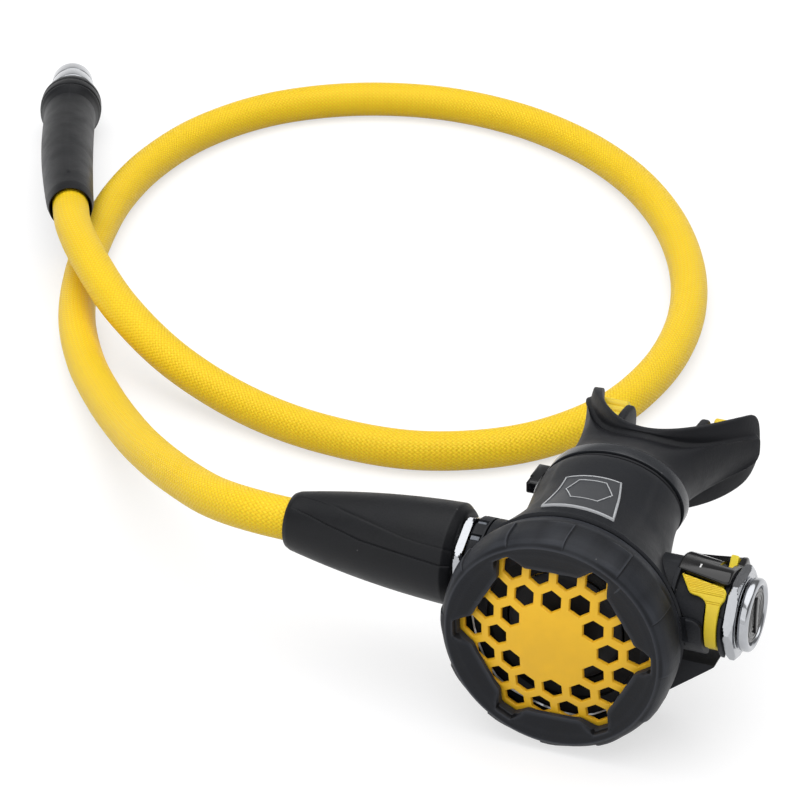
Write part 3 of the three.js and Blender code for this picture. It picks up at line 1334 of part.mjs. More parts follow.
add('inlet_collar', inletCollar(), blackPlastic());
add('swivel_nut', swivelNut(), chrome());
add('hose_stem', hoseStem(), chrome());
add('stem_o_ring', ringX(STEM_TIP - 3.2 + 0.95, INLET_BORE - GAP - 0.7, 0.5), seal());
add('inlet_sleeve', inletSleeve(), blackRubber());
add('hose', hose(), yellowHose());
add('outlet_sleeve', outletSleeve(), blackRubber());
add('first_stage_fitting', firstStageFitting(), chrome());
const faceRing = outletRing(OUTLET_SLEEVE_LENGTH + 9 + 3.5, FITTING_THREAD_RADIUS - 0.25, 0.5);
add('fitting_face_o_ring', faceRing, seal());
const tipPlace = OUTLET_SLEEVE_LENGTH + 9 + FITTING_LENGTH - 2.05;
add('fitting_tip_o_ring', outletRing(tipPlace, FITTING_THREAD_RADIUS - 0.6, 0.45), seal());
add('exhaust_tee', exhaustTee(), blackPlastic());
add('exhaust_valve', exhaustValve(), blackRubber());
add('mouthpiece', mouthpiece(), blackRubber());
add('bite_pad_left', bitePad(-1), yellowPlastic());
add('bite_pad_right', bitePad(1), yellowPlastic());
add('mouthpiece_tie', mouthpieceTie(), glossPlastic());
add('tie_head', tieHead(), glossPlastic());
add('badge_plate', badgePlate(), finish(0x3a3c40, 0.5));

// The origin is the middle of the floor under the second stage, without the hose and what is on it.
const ON_THE_HOSE = [
  'hose',
  'inlet_sleeve',
  'hose_stem',
  'stem_o_ring',
  'outlet_sleeve',
  'first_stage_fitting',
  'fitting_face_o_ring',
  'fitting_tip_o_ring',
];
const extent = new THREE.Box3();
for (const mesh of group.children) {
  if (!ON_THE_HOSE.includes(mesh.name)) extent.expandByObject(mesh);
}
const middle = extent.getCenter(new THREE.Vector3());
group.position.set(-middle.x, -middle.y, -extent.min.z);

export default group;
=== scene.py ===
"""Dresses the CAD frame of a diving regulator second stage with its braided hose.

Lengths in the making are drawing millimetres, as in the part's source: the middle of the front ring is at
X 0, the purge cover faces -Y, the mouthpiece +Y, the hose side is -X and the dial side +X. Every finished
mesh is put into the row frame in metres.
"""
import math

import bmesh
import bpy
from bpy.props import FloatProperty, FloatVectorProperty, IntProperty, PointerProperty
from mathutils import Matrix, Vector


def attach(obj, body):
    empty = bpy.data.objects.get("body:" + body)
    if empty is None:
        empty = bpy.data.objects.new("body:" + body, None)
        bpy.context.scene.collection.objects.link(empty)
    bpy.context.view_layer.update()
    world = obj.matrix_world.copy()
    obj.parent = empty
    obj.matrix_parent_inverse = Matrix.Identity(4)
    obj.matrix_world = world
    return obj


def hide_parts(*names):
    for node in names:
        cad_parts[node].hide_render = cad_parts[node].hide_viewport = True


bl_info = {
    "name": "Regulator second stage dresser",
    "version": (1, 0, 0),
    "blender": (4, 5, 0),
    "location": "View3D > Sidebar > Regulator",
    "description": "Builds the finished pieces of a diving regulator second stage on its CAD frame",
    "category": "Object",
}

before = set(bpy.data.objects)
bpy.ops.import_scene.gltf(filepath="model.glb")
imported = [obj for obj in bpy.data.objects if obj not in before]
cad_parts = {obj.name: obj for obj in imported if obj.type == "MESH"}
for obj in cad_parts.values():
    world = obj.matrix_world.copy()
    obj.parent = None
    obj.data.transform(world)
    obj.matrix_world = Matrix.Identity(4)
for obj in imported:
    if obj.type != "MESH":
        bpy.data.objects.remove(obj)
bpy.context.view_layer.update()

TAU = math.tau
SHIFT = Vector((-3.3, -46.5374, 0.0))  # drawing origin seen from the row frame, mm
TO_ROW = Matrix.Scale(0.001, 4) @ Matrix.Translation(SHIFT)
WELD = 1e-4  # corners closer than this are one, mm

# ---- sizes shared with the part's source, drawing mm --------------------------------------------------
GAP = 0.35
SLIDE_GAP = 0.45
AXIS_Z = 31.6
RING_RADIUS = 31.2
RING_DEPTH = 11.6
RING_BORE = 27.6
STAR_SHOULDER = 21.6
STAR_TIP = 25.9
COVER_PITCH = 7.35
COVER_RADIUS = 26.9
FACE_TURN = math.radians(1.5)
BARREL_Y = 23.0
BARREL_Z = 36.8
BARREL_RADIUS = 8.2
BOWL_START = 12.55
BOWL_RADIUS = 30.2
NECK_RADIUS = 17.8
NECK_END = 47.5
SPIGOT_RADIUS = 15.4
SPIGOT_END = 53.5
SLEEVE_RIGHT = -32.75
SLEEVE_LENGTH = 48.5
SLEEVE_LEFT = SLEEVE_RIGHT - SLEEVE_LENGTH
HOSE_END = 72.0
HOUSING_LEFT = 25.6
HOUSING_RIGHT = 39.9
HOUSING_RADIUS = 12.4
COLLAR_RADIUS = 10.6
LEVER_RADIUS = 12.1
OUTLET_MOUTH = Vector((-236.7, 203.4, 19.4))
OUTLET_TIP = Vector((-279.5, 289.6, 10.0))
OUTLET_AXIS = (OUTLET_TIP - OUTLET_MOUTH).normalized()
OUTLET_LEAN = Vector((-0.9248, -0.3804, 0))
FLANGE_Y, FLANGE_Z = 71.8, 46.0
FLANGE_UP, FLANGE_DOWN = 9.6, 15.2
FLANGE_BULGE = 1.6
FLANGE_HALF = 34  # half the length of the flange's plan line
AIRWAY_WIDE, AIRWAY_HIGH = 10, 5.5  # half its width and height
OVAL_X, OVAL_Z = -1.7, 46.6  # middle of the oval behind the case
TIE_Y = 48.8
TIE_WIDTH = 4.0

HOSE_ROUTE = (
    (-47.75, 23, 36.8), (-63, 23, 36.8), (-80, 23, 36.8), (-93, 24.6, 36.2), (-108, 32, 33),
    (-125, 46, 28.2), (-144.2, 65.7, 21.6), (-161.9, 87.1, 14.6), (-179.9, 109.3, 9.5),
    (-197.4, 132.2, 6.7), (-212.5, 156.7, 5.8), (-223.9, 183, 5.8), (-232.6, 210.7, 5.8),
    (-238.6, 239.3, 5.8), (-239.5, 268.2, 5.8), (-233.9, 296.4, 5.8), (-219.5, 321.6, 5.8),
    (-196.6, 339, 5.8), (-169.2, 346.8, 5.8), (-140.4, 344.3, 5.8), (-113.9, 333.5, 5.8),
    (-90.4, 316.4, 5.8), (-71.2, 295, 5.8), (-55.8, 270.3, 5.8), (-44.4, 243.4, 5.8),
    (-37.9, 215.2, 5.8), (-37.1, 186.2, 5.8), (-43.2, 158.5, 5.8), (-59.4, 134.5, 5.8),
    (-84.4, 120.4, 5.8), (-113, 118.9, 5.8), (-140.8, 124.9, 6.6), (-168, 134, 11.3),
    (-192.3, 148.6, 16.8), (-212.9, 168.6, 19.9), (-229, 189, 20.1),
)


def srgb(red, green, blue):
    """A screen colour, 0 to 255, as linear values."""
    def linear(value):
        value /= 255
        return value / 12.92 if value <= 0.04045 else ((value + 0.055) / 1.055) ** 2.4
    return (linear(red), linear(green), linear(blue))


# ---- what a user would change -------------------------------------------------------------------------
def colour(name, description, red, green, blue):
    return FloatVectorProperty(
        name=name, description=description, subtype="COLOR", size=3, min=0, max=1,
        default=srgb(red, green, blue))


def length(name, description, default):
    return FloatProperty(
        name=name, description=description, default=default, min=0, max=1, unit="LENGTH", precision=4)


class RegulatorSizes(bpy.types.PropertyGroup):
    hose_diameter: length("Hose diameter", "Outside of the braid", 0.0114)
    hole_width: length("Hole width", "Hexagon hole of the purge cover, across flats", 0.0047)
    hole_depth: length("Hole depth", "Height of the walls of a hexagon hole", 0.001)
    pad_height: length("Grip pad height", "How far a grip pad stands out of the front ring", 0.0004)
    channel_depth: length("Channel depth", "Depth of the wedge channels in the ring's face", 0.0006)
    crease_depth: length("Crease depth", "Depth of the two long creases of the inlet sleeve", 0.0004)
    braid_strands: IntProperty(
        name="Braid strands", description="Strands each way round the hose, an even number",
        default=30, min=8, max=80)
    braid_pitch: length("Braid pitch", "Length of one braid cell along the hose", 0.00145)
    groove_pitch: length("Groove pitch", "Between the fine grooves on the airflow lever", 0.00045)


class RegulatorColours(bpy.types.PropertyGroup):
    case: colour("Case", "Satin black plastic of case and exhaust tee", 21, 23, 28)
    ring: colour("Ring", "Satin black plastic of the front ring", 20, 22, 27)
    rubber: colour("Rubber", "Black silicone of the mouthpiece", 22, 23, 27)
    sleeve: colour("Sleeve", "Black rubber of the hose sleeves", 20, 21, 24)
    gloss: colour("Gloss black", "Polished black plastic", 9, 9, 11)
    cover: colour("Purge cover", "Warm yellow plastic of the purge cover", 252, 194, 44)
    lever: colour("Airflow lever", "Greenish yellow plastic of the airflow lever", 228, 196, 44)
    pads: colour("Bite pads", "Yellow silicone of the bite pads", 232, 190, 30)
    hose: colour("Hose", "Yellow yarn of the braid", 255, 220, 30)
    # The gap colour is painted shade between the yarns; dirt smears on the hose take it too.
    hose_gap_shade: colour("Hose gaps", "Between the yarns of the braid", 238, 176, 10)
    chrome: colour("Chrome", "Plated brass", 178, 180, 184)


def sizes():
    return bpy.context.scene.regulator_sizes


def colours():
    return bpy.context.scene.regulator_colours


# ---- mesh helpers -------------------------------------------------------------------------------------
def welded(bm):
    """Merges doubled corners and turns the faces outward."""
    bmesh.ops.remove_doubles(bm, verts=bm.verts, dist=WELD)
    bmesh.ops.recalc_face_normals(bm, faces=bm.faces)
    return bm


def finish_piece(bm, name, finish, body, node, sharp=32):
    """Puts a mesh into the row frame, hangs it on its CAD body and lets it stand for a CAD node.

    The finish is a material or the name of a plastic.
    """
    bmesh.ops.transform(welded(bm), matrix=TO_ROW, verts=bm.verts)
    mesh = bpy.data.meshes.new(name)
    bm.to_mesh(mesh)
    bm.free()
    for polygon in mesh.polygons:
        polygon.use_smooth = True
    mesh.set_sharp_from_angle(angle=math.radians(sharp))
    mesh.materials.append(plastic(finish) if isinstance(finish, str) else finish)
    piece = bpy.data.objects.new(name, mesh)
    bpy.context.scene.collection.objects.link(piece)
    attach(piece, body)
    if node:
        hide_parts(node)
    return piece


def rounded(points, radius, closed=False, steps=3):
    """The same chain of 2-D points with its corners rounded."""
    out = []
    count = len(points)
    for i, point in enumerate(points):
        here = Vector(point)
        if not closed and i in (0, count - 1):
            out.append(tuple(here))
            continue
        back = Vector(points[i - 1]) - here
        onward = Vector(points[(i + 1) % count]) - here
        reach = min(radius, 0.45 * back.length, 0.45 * onward.length)
        first = here + back.normalized() * reach
        last = here + onward.normalized() * reach
        for k in range(steps + 1):
            t = k / steps
            out.append(tuple(first * (1 - t) ** 2 + here * (2 * t * (1 - t)) + last * t * t))
    return out


def spun(profile, steps=96, closed=False):
    """A piece turned about +Y from [along, radius] points."""
    bm = bmesh.new()
    verts = [bm.verts.new((radius, along, 0)) for along, radius in profile]
    edges = [bm.edges.new(pair) for pair in zip(verts, verts[1:])]
    if closed:
        edges.append(bm.edges.new((verts[-1], verts[0])))
    bmesh.ops.spin(
        bm, geom=verts + edges, cent=(0, 0, 0), axis=(0, 1, 0), angle=TAU, steps=steps, use_merge=True)
    return welded(bm)


def skin(around, along, place):
    """A grid of faces whose corners are put in place by (column, row)."""
    bm = bmesh.new()
    bm.loops.layers.uv.new("UVMap")
    bmesh.ops.create_grid(bm, x_segments=around, y_segments=along, size=0.5, calc_uvs=True)
    for vert in bm.verts:
        vert.co = place(round((vert.co.x + 0.5) * around), round((vert.co.y + 0.5) * along))
    return bm


def joined(target, *others):
    """Adds the faces of the others to the target."""
    for other in others:
        carrier = bpy.data.meshes.new("carrier")
        other.to_mesh(carrier)
        other.free()
        target.from_mesh(carrier)
        bpy.data.meshes.remove(carrier)
    return target


def moved(bm, matrix):
    bmesh.ops.transform(bm, matrix=matrix, verts=bm.verts)
    return bm


def turning(axis, place):
    """The matrix that lays +Y along an axis and the origin on a place."""
    turn = Vector((0, 1, 0)).rotation_difference(Vector(axis)).to_matrix().to_4x4()
    return Matrix.Translation(Vector(place)) @ turn


ON_RING = Matrix.Translation((0, 0, AXIS_Z))
ON_BARREL = turning((1, 0, 0), (0, BARREL_Y, BARREL_Z))
ON_OUTLET = turning(OUTLET_AXIS, OUTLET_MOUTH)


def side_on(x, y=0.0, z=0.0):
    """The matrix that turns a plate's X to Y, its Y to Z and its depth to X."""
    return Matrix(((0, 0, 1, x), (1, 0, 0, y), (0, 1, 0, z), (0, 0, 0, 1)))


def round_barrel(x, radius, angle):
    """A point round the barrel: the angle counts up from the front."""
    return Vector((x, BARREL_Y - radius * math.cos(angle), BARREL_Z + radius * math.sin(angle)))


def cut_with(bm, steps):
    """Cuts, joins or keeps by exact booleans, in the order of the (operation, bmesh) steps."""
    scene = bpy.context.scene
    made = []

    def temporary(source):
        mesh = bpy.data.meshes.new("cutter")
        source.to_mesh(mesh)
        source.free()
        thing = bpy.data.objects.new("cutter", mesh)
        scene.collection.objects.link(thing)
        made.append(thing)
        return thing

    base = temporary(bm)
    for operation, other in steps:
        modifier = base.modifiers.new("cut", "BOOLEAN")
        modifier.operation = operation
        modifier.solver = "EXACT"
        modifier.object = temporary(other)
    graph = bpy.context.evaluated_depsgraph_get()
    mesh = bpy.data.meshes.new_from_object(base.evaluated_get(graph))
    result = bmesh.new()
    result.from_mesh(mesh)
    bpy.data.meshes.remove(mesh)
    for thing in made:
        mesh = thing.data
        bpy.data.objects.remove(thing)
        bpy.data.meshes.remove(mesh)
    return result


def block(low, high, rounding=0.0):
    """A rectangular block between two corners, its edges rounded."""
    bm = bmesh.new()
    bmesh.ops.create_cube(bm, size=1)
    low, high = Vector(low), Vector(high)
    span = high - low
    bmesh.ops.scale(bm, vec=span, verts=bm.verts)
    bmesh.ops.translate(bm, vec=(low + high) / 2, verts=bm.verts)
    if rounding:
        bmesh.ops.bevel(
            bm, geom=bm.edges[:], offset=rounding, offset_type="OFFSET", segments=3, profile=0.5,
            affect="EDGES", material=-1)
    return bm


def plate(outline, depth, rounding=0.0, both=True, segments=3):
    """A flat plate in the XY plane from Z 0 to its depth, its long edges rounded by shrinking steps."""
    bm = bmesh.new()
    low = rounding if both else 0.0
    face = bm.faces.new([bm.verts.new((x, y, low)) for x, y in outline])
    out = bmesh.ops.extrude_face_region(bm, geom=[face])
    top = [item for item in out["geom"] if isinstance(item, bmesh.types.BMFace)]
    bmesh.ops.translate(bm, vec=(0, 0, depth - rounding - low), verts=top[0].verts[:])
    bmesh.ops.recalc_face_normals(bm, faces=bm.faces)
    if rounding:
        caps = sorted(bm.faces, key=lambda item: item.calc_center_median().z)
        for cap in (caps[0], caps[-1]) if both else (caps[-1],):
            for k in range(segments):
                a, b = (TAU / 4 * k / segments, TAU / 4 * (k + 1) / segments)
                bmesh.ops.inset_individual(
                    bm, faces=[cap], thickness=rounding * (math.cos(a) - math.cos(b)),
                    depth=rounding * (math.sin(b) - math.sin(a)), use_even_offset=True)
    return bm


def smoothstep(low, high, value):
    """Runs softly from 0 at the low limit to 1 at the high one."""
    t = min(1.0, max(0.0, (value - low) / (high - low)))
    return t * t * (3 - 2 * t)


def hexagon_radius(corner, angle, soft=0.0):
    """The reach of a hexagon in a direction, its corners a little rounded."""
    local = (angle % (TAU / 6)) - TAU / 12
    reach = corner * math.cos(TAU / 12) / math.cos(local)
    return min(reach, corner - soft)


# ---- shader node groups -------------------------------------------------------------------------------
def group_of(name, inputs, outputs):
    """A new shader node group with its input and output nodes."""
    tree = bpy.data.node_groups.new(name, "ShaderNodeTree")
    for label, kind, default in inputs:
        socket = tree.interface.new_socket(label, in_out="INPUT", socket_type=kind)
        if default is not None:
            socket.default_value = default
    for label, kind in outputs:
        tree.interface.new_socket(label, in_out="OUTPUT", socket_type=kind)
    return tree, tree.nodes.new("NodeGroupInput"), tree.nodes.new("NodeGroupOutput")


def wire(tree, source, target):
    tree.links.new(source, target)


def maths(tree, operation, first, second=None, third=None, clamp=False):
    """A Math node; its inputs are sockets or numbers."""
    node = tree.nodes.new("ShaderNodeMath")
    node.operation = operation
    node.use_clamp = clamp
    for i, value in enumerate((first, second, third)):
        if value is None:
            continue
        if isinstance(value, (int, float)):
            node.inputs[i].default_value = value
        else:
            wire(tree, value, node.inputs[i])
    return node.outputs[0]


def mixed(tree, factor, first, second):
    """A colour Mix node; its inputs are sockets, numbers or colours."""
    node = tree.nodes.new("ShaderNodeMix")
    node.data_type = "RGBA"
    node.clamp_factor = True
    for socket, value in ((node.inputs[0], factor), (node.inputs[6], first), (node.inputs[7], second)):
        if isinstance(value, (int, float)):
            socket.default_value = value
        elif isinstance(value, (tuple, list)) or hasattr(value, "hsv"):
            socket.default_value = (*value[:3], 1)
        else:
            wire(tree, value, socket)
    return node.outputs[2]


def ramp(tree, value, low, high, start=0.0, end=1.0):
    """Maps a value between two limits, clamped."""
    node = tree.nodes.new("ShaderNodeMapRange")
    node.clamp = True
    node.interpolation_type = "SMOOTHSTEP"
    wire(tree, value, node.inputs[0])
    node.inputs[1].default_value = low
    node.inputs[2].default_value = high
    node.inputs[3].default_value = start
    node.inputs[4].default_value = end
    return node.outputs[0]


def noise(tree, vector, scale, detail=3.0, roughness=0.5):
    node = tree.nodes.new("ShaderNodeTexNoise")
    wire(tree, vector, node.inputs["Vector"])
    if isinstance(scale, (int, float)):
        node.inputs["Scale"].default_value = scale
    else:
        wire(tree, scale, node.inputs["Scale"])
    node.inputs["Detail"].default_value = detail
    node.inputs["Roughness"].default_value = roughness
    return node.outputs[0]


def make_grain_group():
    """Moulded grain: a fine height and a slow mottle."""
    tree, start, end = group_of(
        "Moulded grain",
        [("Vector", "NodeSocketVector", None), ("Scale", "NodeSocketFloat", 2500.0),
         ("Mottle scale", "NodeSocketFloat", 90.0)],
        [("Height", "NodeSocketFloat"), ("Mottle", "NodeSocketFloat")])
    fine = noise(tree, start.outputs["Vector"], start.outputs["Scale"], 2.0)
    cells = tree.nodes.new("ShaderNodeTexVoronoi")
    wire(tree, start.outputs["Vector"], cells.inputs["Vector"])
    wire(tree, start.outputs["Scale"], cells.inputs["Scale"])
    height = maths(tree, "MULTIPLY_ADD", cells.outputs["Distance"], -0.5, fine)
    wire(tree, height, end.inputs["Height"])
    slow = noise(tree, start.outputs["Vector"], start.outputs["Mottle scale"], 4.0, 0.6)
    wire(tree, ramp(tree, slow, 0.3, 0.7), end.inputs["Mottle"])
    return tree


def make_dust_group():
    """Stray light specks and soft smears, as on rubber that has been handled."""
    tree, start, end = group_of(
        "Handling dust",
        [("Vector", "NodeSocketVector", None), ("Speck scale", "NodeSocketFloat", 260.0),
         ("Speck share", "NodeSocketFloat", 0.1), ("Smear scale", "NodeSocketFloat", 45.0)],
        [("Specks", "NodeSocketFloat"), ("Smears", "NodeSocketFloat")])
    cells = tree.nodes.new("ShaderNodeTexVoronoi")
    wire(tree, start.outputs["Vector"], cells.inputs["Vector"])
    wire(tree, start.outputs["Speck scale"], cells.inputs["Scale"])
    split = tree.nodes.new("ShaderNodeSeparateColor")
    wire(tree, cells.outputs["Color"], split.inputs[0])
    chosen = maths(tree, "LESS_THAN", split.outputs[0], start.outputs["Speck share"])
    size = maths(tree, "MULTIPLY_ADD", split.outputs[1], 0.05, 0.02)
    near = maths(tree, "LESS_THAN", cells.outputs["Distance"], size)
    wire(tree, maths(tree, "MULTIPLY", chosen, near), end.inputs["Specks"])
    slow = noise(tree, start.outputs["Vector"], start.outputs["Smear scale"], 6.0, 0.65)
    wire(tree, ramp(tree, slow, 0.48, 0.8), end.inputs["Smears"])
    return tree


def make_edge_group():
    """A lighter tone on convex edges, partly wear and partly a painted highlight, and painted shade in
    concave corners, from the mesh's own curvature.
    """
    tree, start, end = group_of(
        "Edge wear",
        [("Width", "NodeSocketFloat", 0.06)],
        [("Edges", "NodeSocketFloat"), ("Corners", "NodeSocketFloat")])
    geometry = tree.nodes.new("ShaderNodeNewGeometry")
    out = maths(tree, "SUBTRACT", geometry.outputs["Pointiness"], 0.5)
    edges = maths(tree, "DIVIDE", out, start.outputs["Width"], clamp=True)
    corners = maths(tree, "DIVIDE", maths(tree, "MULTIPLY", out, -1.0), start.outputs["Width"], clamp=True)
    wire(tree, edges, end.inputs["Edges"])
    wire(tree, corners, end.inputs["Corners"])
    return tree


def make_braid_group():
    """Two sets of yarns that cross over and under each other, on a UV map that runs round and along."""
    tree, start, end = group_of(
        "Braid",
        [("UV", "NodeSocketVector", None), ("Strands", "NodeSocketFloat", 30.0),
         ("Cells along", "NodeSocketFloat", 700.0)],
        [("Height", "NodeSocketFloat"), ("Gap", "NodeSocketFloat"), ("Yarn", "NodeSocketFloat")])
    split = tree.nodes.new("ShaderNodeSeparateXYZ")
    wire(tree, start.outputs["UV"], split.inputs[0])
    across = maths(tree, "MULTIPLY", split.outputs[0], start.outputs["Strands"])
    down = maths(tree, "MULTIPLY", split.outputs[1], start.outputs["Cells along"])
    first = maths(tree, "ADD", across, down)
    second = maths(tree, "SUBTRACT", across, down)
    waves = []
    for value in (first, second):
        part = maths(tree, "FRACT", value)
        waves.append(maths(tree, "SINE", maths(tree, "MULTIPLY", part, math.pi)))
    floors = [maths(tree, "FLOOR", value) for value in (first, second)]
    over = maths(tree, "FLOORED_MODULO", maths(tree, "ADD", *floors), 2.0)
    under = maths(tree, "SUBTRACT", 1.0, over)
    crown, run = [
        maths(tree, "ADD", maths(tree, "MULTIPLY", a, over), maths(tree, "MULTIPLY", b, under))
        for a, b in (waves, reversed(waves))]
    height = maths(tree, "MULTIPLY", crown, maths(tree, "MULTIPLY_ADD", run, 0.35, 0.65))
    wire(tree, height, end.inputs["Height"])
    wire(tree, ramp(tree, height, 0.05, 0.55, 1.0, 0.0), end.inputs["Gap"])
    wire(tree, over, end.inputs["Yarn"])
    return tree


GROUPS = {}
MATERIALS = {}


def group_node(tree, name, **inputs):
    """Places a node group; its inputs are sockets or numbers."""
    makers = {
        "grain": make_grain_group, "dust": make_dust_group,
        "edge": make_edge_group, "braid": make_braid_group,
    }
    if name not in GROUPS:
        GROUPS[name] = makers[name]()
    node = tree.nodes.new("ShaderNodeGroup")
    node.node_tree = GROUPS[name]
    for label, value in inputs.items():
        socket = node.inputs[label.replace("_", " ")]
        if isinstance(value, (int, float)):
            socket.default_value = value
        else:
            wire(tree, value, socket)
    return node


def blank_material(name):
    """A new material with its node tree and its shader."""
    material = bpy.data.materials.new(name)
    material.use_nodes = True
    tree = material.node_tree
    return material, tree, tree.nodes["Principled BSDF"]


def bump(tree, shader, height, distance):
    """Lets a height raise the shader's surface."""
    node = tree.nodes.new("ShaderNodeBump")
    node.inputs["Distance"].default_value = distance
    node.inputs["Strength"].default_value = 1.0
    wire(tree, height, node.inputs["Height"])
    wire(tree, node.outputs[0], shader.inputs["Normal"])


def moulded(name, base, roughness, grain=2200.0, depth=0.00004, dust=0.1, smear=0.25, wear_and_highlight=0.35,
            specular=0.22, contrast=0.16, wear_and_highlight_width=0.06, wear_and_highlight_tone=None):
    """Moulded plastic or rubber with grain, mottle, a lighter tone on edges that is partly wear and partly
    a painted highlight, painted shade in corners, specks and smears.
    """
    if name in MATERIALS:
        return MATERIALS[name]
    material, tree, shader = blank_material(name)
    place = tree.nodes.new("ShaderNodeTexCoord").outputs["Object"]
    grain_node = group_node(tree, "grain", Vector=place, Scale=grain)
    dust_node = group_node(tree, "dust", Vector=place, Speck_share=dust)
    edge_node = group_node(tree, "edge", Width=wear_and_highlight_width)
    base = tuple(base)
    dark = tuple(value * (1 - contrast) for value in base)
    light = tuple(value * (1 + contrast) for value in base)
    shade = mixed(tree, grain_node.outputs["Mottle"], dark, light)
    wear_and_highlight_tone = wear_and_highlight_tone or tuple(min(1.0, value * 1.8 + 0.02) for value in base)
    # Convex edges take a lighter tone: partly wear, partly a painted highlight.
    edges = maths(tree, "MULTIPLY", edge_node.outputs["Edges"], wear_and_highlight)
    shade = mixed(tree, edges, shade, wear_and_highlight_tone)
    # Concave corners are darkened: painted shade.
    corners = maths(tree, "MULTIPLY", edge_node.outputs["Corners"], 0.5)
    shade = mixed(tree, corners, shade, tuple(value * 0.55 for value in base))
    dusty = tuple(min(1.0, value * 0.6 + 0.09) for value in base)
    smears = maths(tree, "MULTIPLY", dust_node.outputs["Smears"], smear)
    shade = mixed(tree, smears, shade, tuple(min(1.0, value * 1.25 + 0.004) for value in base))
    shade = mixed(tree, maths(tree, "MULTIPLY", dust_node.outputs["Specks"], 0.8), shade, dusty)
    wire(tree, shade, shader.inputs["Base Color"])
    rough = maths(tree, "MULTIPLY_ADD", grain_node.outputs["Mottle"], 0.1, roughness - 0.05)
    wire(tree, maths(tree, "MULTIPLY_ADD", smears, 0.3, rough, clamp=True), shader.inputs["Roughness"])
    shader.inputs["Specular IOR Level"].default_value = specular
    bump(tree, shader, grain_node.outputs["Height"], depth)
    MATERIALS[name] = material
    return material


def metal(name, base, roughness, stretch=(1, 1, 1), tarnish=0.12):
    """Metal with fine tool marks and faint tarnish."""
    if name in MATERIALS:
        return MATERIALS[name]
    material, tree, shader = blank_material(name)
    place = tree.nodes.new("ShaderNodeTexCoord").outputs["Object"]
    mapping = tree.nodes.new("ShaderNodeMapping")
    mapping.inputs["Scale"].default_value = stretch
    wire(tree, place, mapping.inputs["Vector"])
    marks = noise(tree, mapping.outputs[0], 900.0, 4.0, 0.6)
    slow = group_node(tree, "dust", Vector=place, Speck_share=0.05)
    base = tuple(base)
    shade = mixed(tree, marks, tuple(value * 0.86 for value in base), base)
    stain = maths(tree, "MULTIPLY", slow.outputs["Smears"], tarnish)
    shade = mixed(tree, stain, shade, tuple(value * 0.6 for value in base))
    wire(tree, shade, shader.inputs["Base Color"])
    shader.inputs["Metallic"].default_value = 1.0
    rough = maths(tree, "MULTIPLY_ADD", marks, 0.1, roughness - 0.05)
    wire(tree, maths(tree, "ADD", rough, stain, clamp=True), shader.inputs["Roughness"])
    bump(tree, shader, marks, 0.00001)
    MATERIALS[name] = material
    return material


def braided(name, cells_along):
    """Braided yellow yarn on the hose's UV map, with painted shade in the gaps between the yarns and on one
    set of yarns.
    """
    if name in MATERIALS:
        return MATERIALS[name]
    material, tree, shader = blank_material(name)
    coordinates = tree.nodes.new("ShaderNodeTexCoord")
    weave = group_node(
        tree, "braid", UV=coordinates.outputs["UV"], Strands=float(sizes().braid_strands),
        Cells_along=float(cells_along))
    yarn = tuple(colours().hose)
    gap_shade_and_smear = tuple(colours().hose_gap_shade)
    grain_node = group_node(tree, "grain", Vector=coordinates.outputs["Object"], Scale=5200.0)
    # A darker, more orange copy of the yarn colour: one set of yarns takes it as painted shade, and the
    # mottle mixes towards it.
    other = tuple(min(1.0, value * scale) for value, scale in zip(yarn, (1.0, 0.93, 0.75)))
    shade = mixed(tree, weave.outputs["Yarn"], yarn, other)
    shade = mixed(tree, maths(tree, "MULTIPLY", grain_node.outputs["Mottle"], 0.2), shade, other)
    # The gaps between the yarns are darkened to the gap tone: painted shade.
    shade = mixed(tree, maths(tree, "MULTIPLY", weave.outputs["Gap"], 0.6), shade, gap_shade_and_smear)
    dust_node = group_node(tree, "dust", Vector=coordinates.outputs["Object"], Speck_share=0.02)
    smears = maths(tree, "MULTIPLY", dust_node.outputs["Smears"], 0.12)
    shade = mixed(tree, smears, shade, gap_shade_and_smear)
    wire(tree, shade, shader.inputs["Base Color"])
    rough = maths(tree, "MULTIPLY_ADD", weave.outputs["Gap"], 0.25, 0.42)
    wire(tree, rough, shader.inputs["Roughness"])
    shader.inputs["Specular IOR Level"].default_value = 0.35
    height = maths(tree, "MULTIPLY_ADD", grain_node.outputs["Height"], 0.12, weave.outputs["Height"])
    bump(tree, shader, height, 0.00016)
    MATERIALS[name] = material
    return material


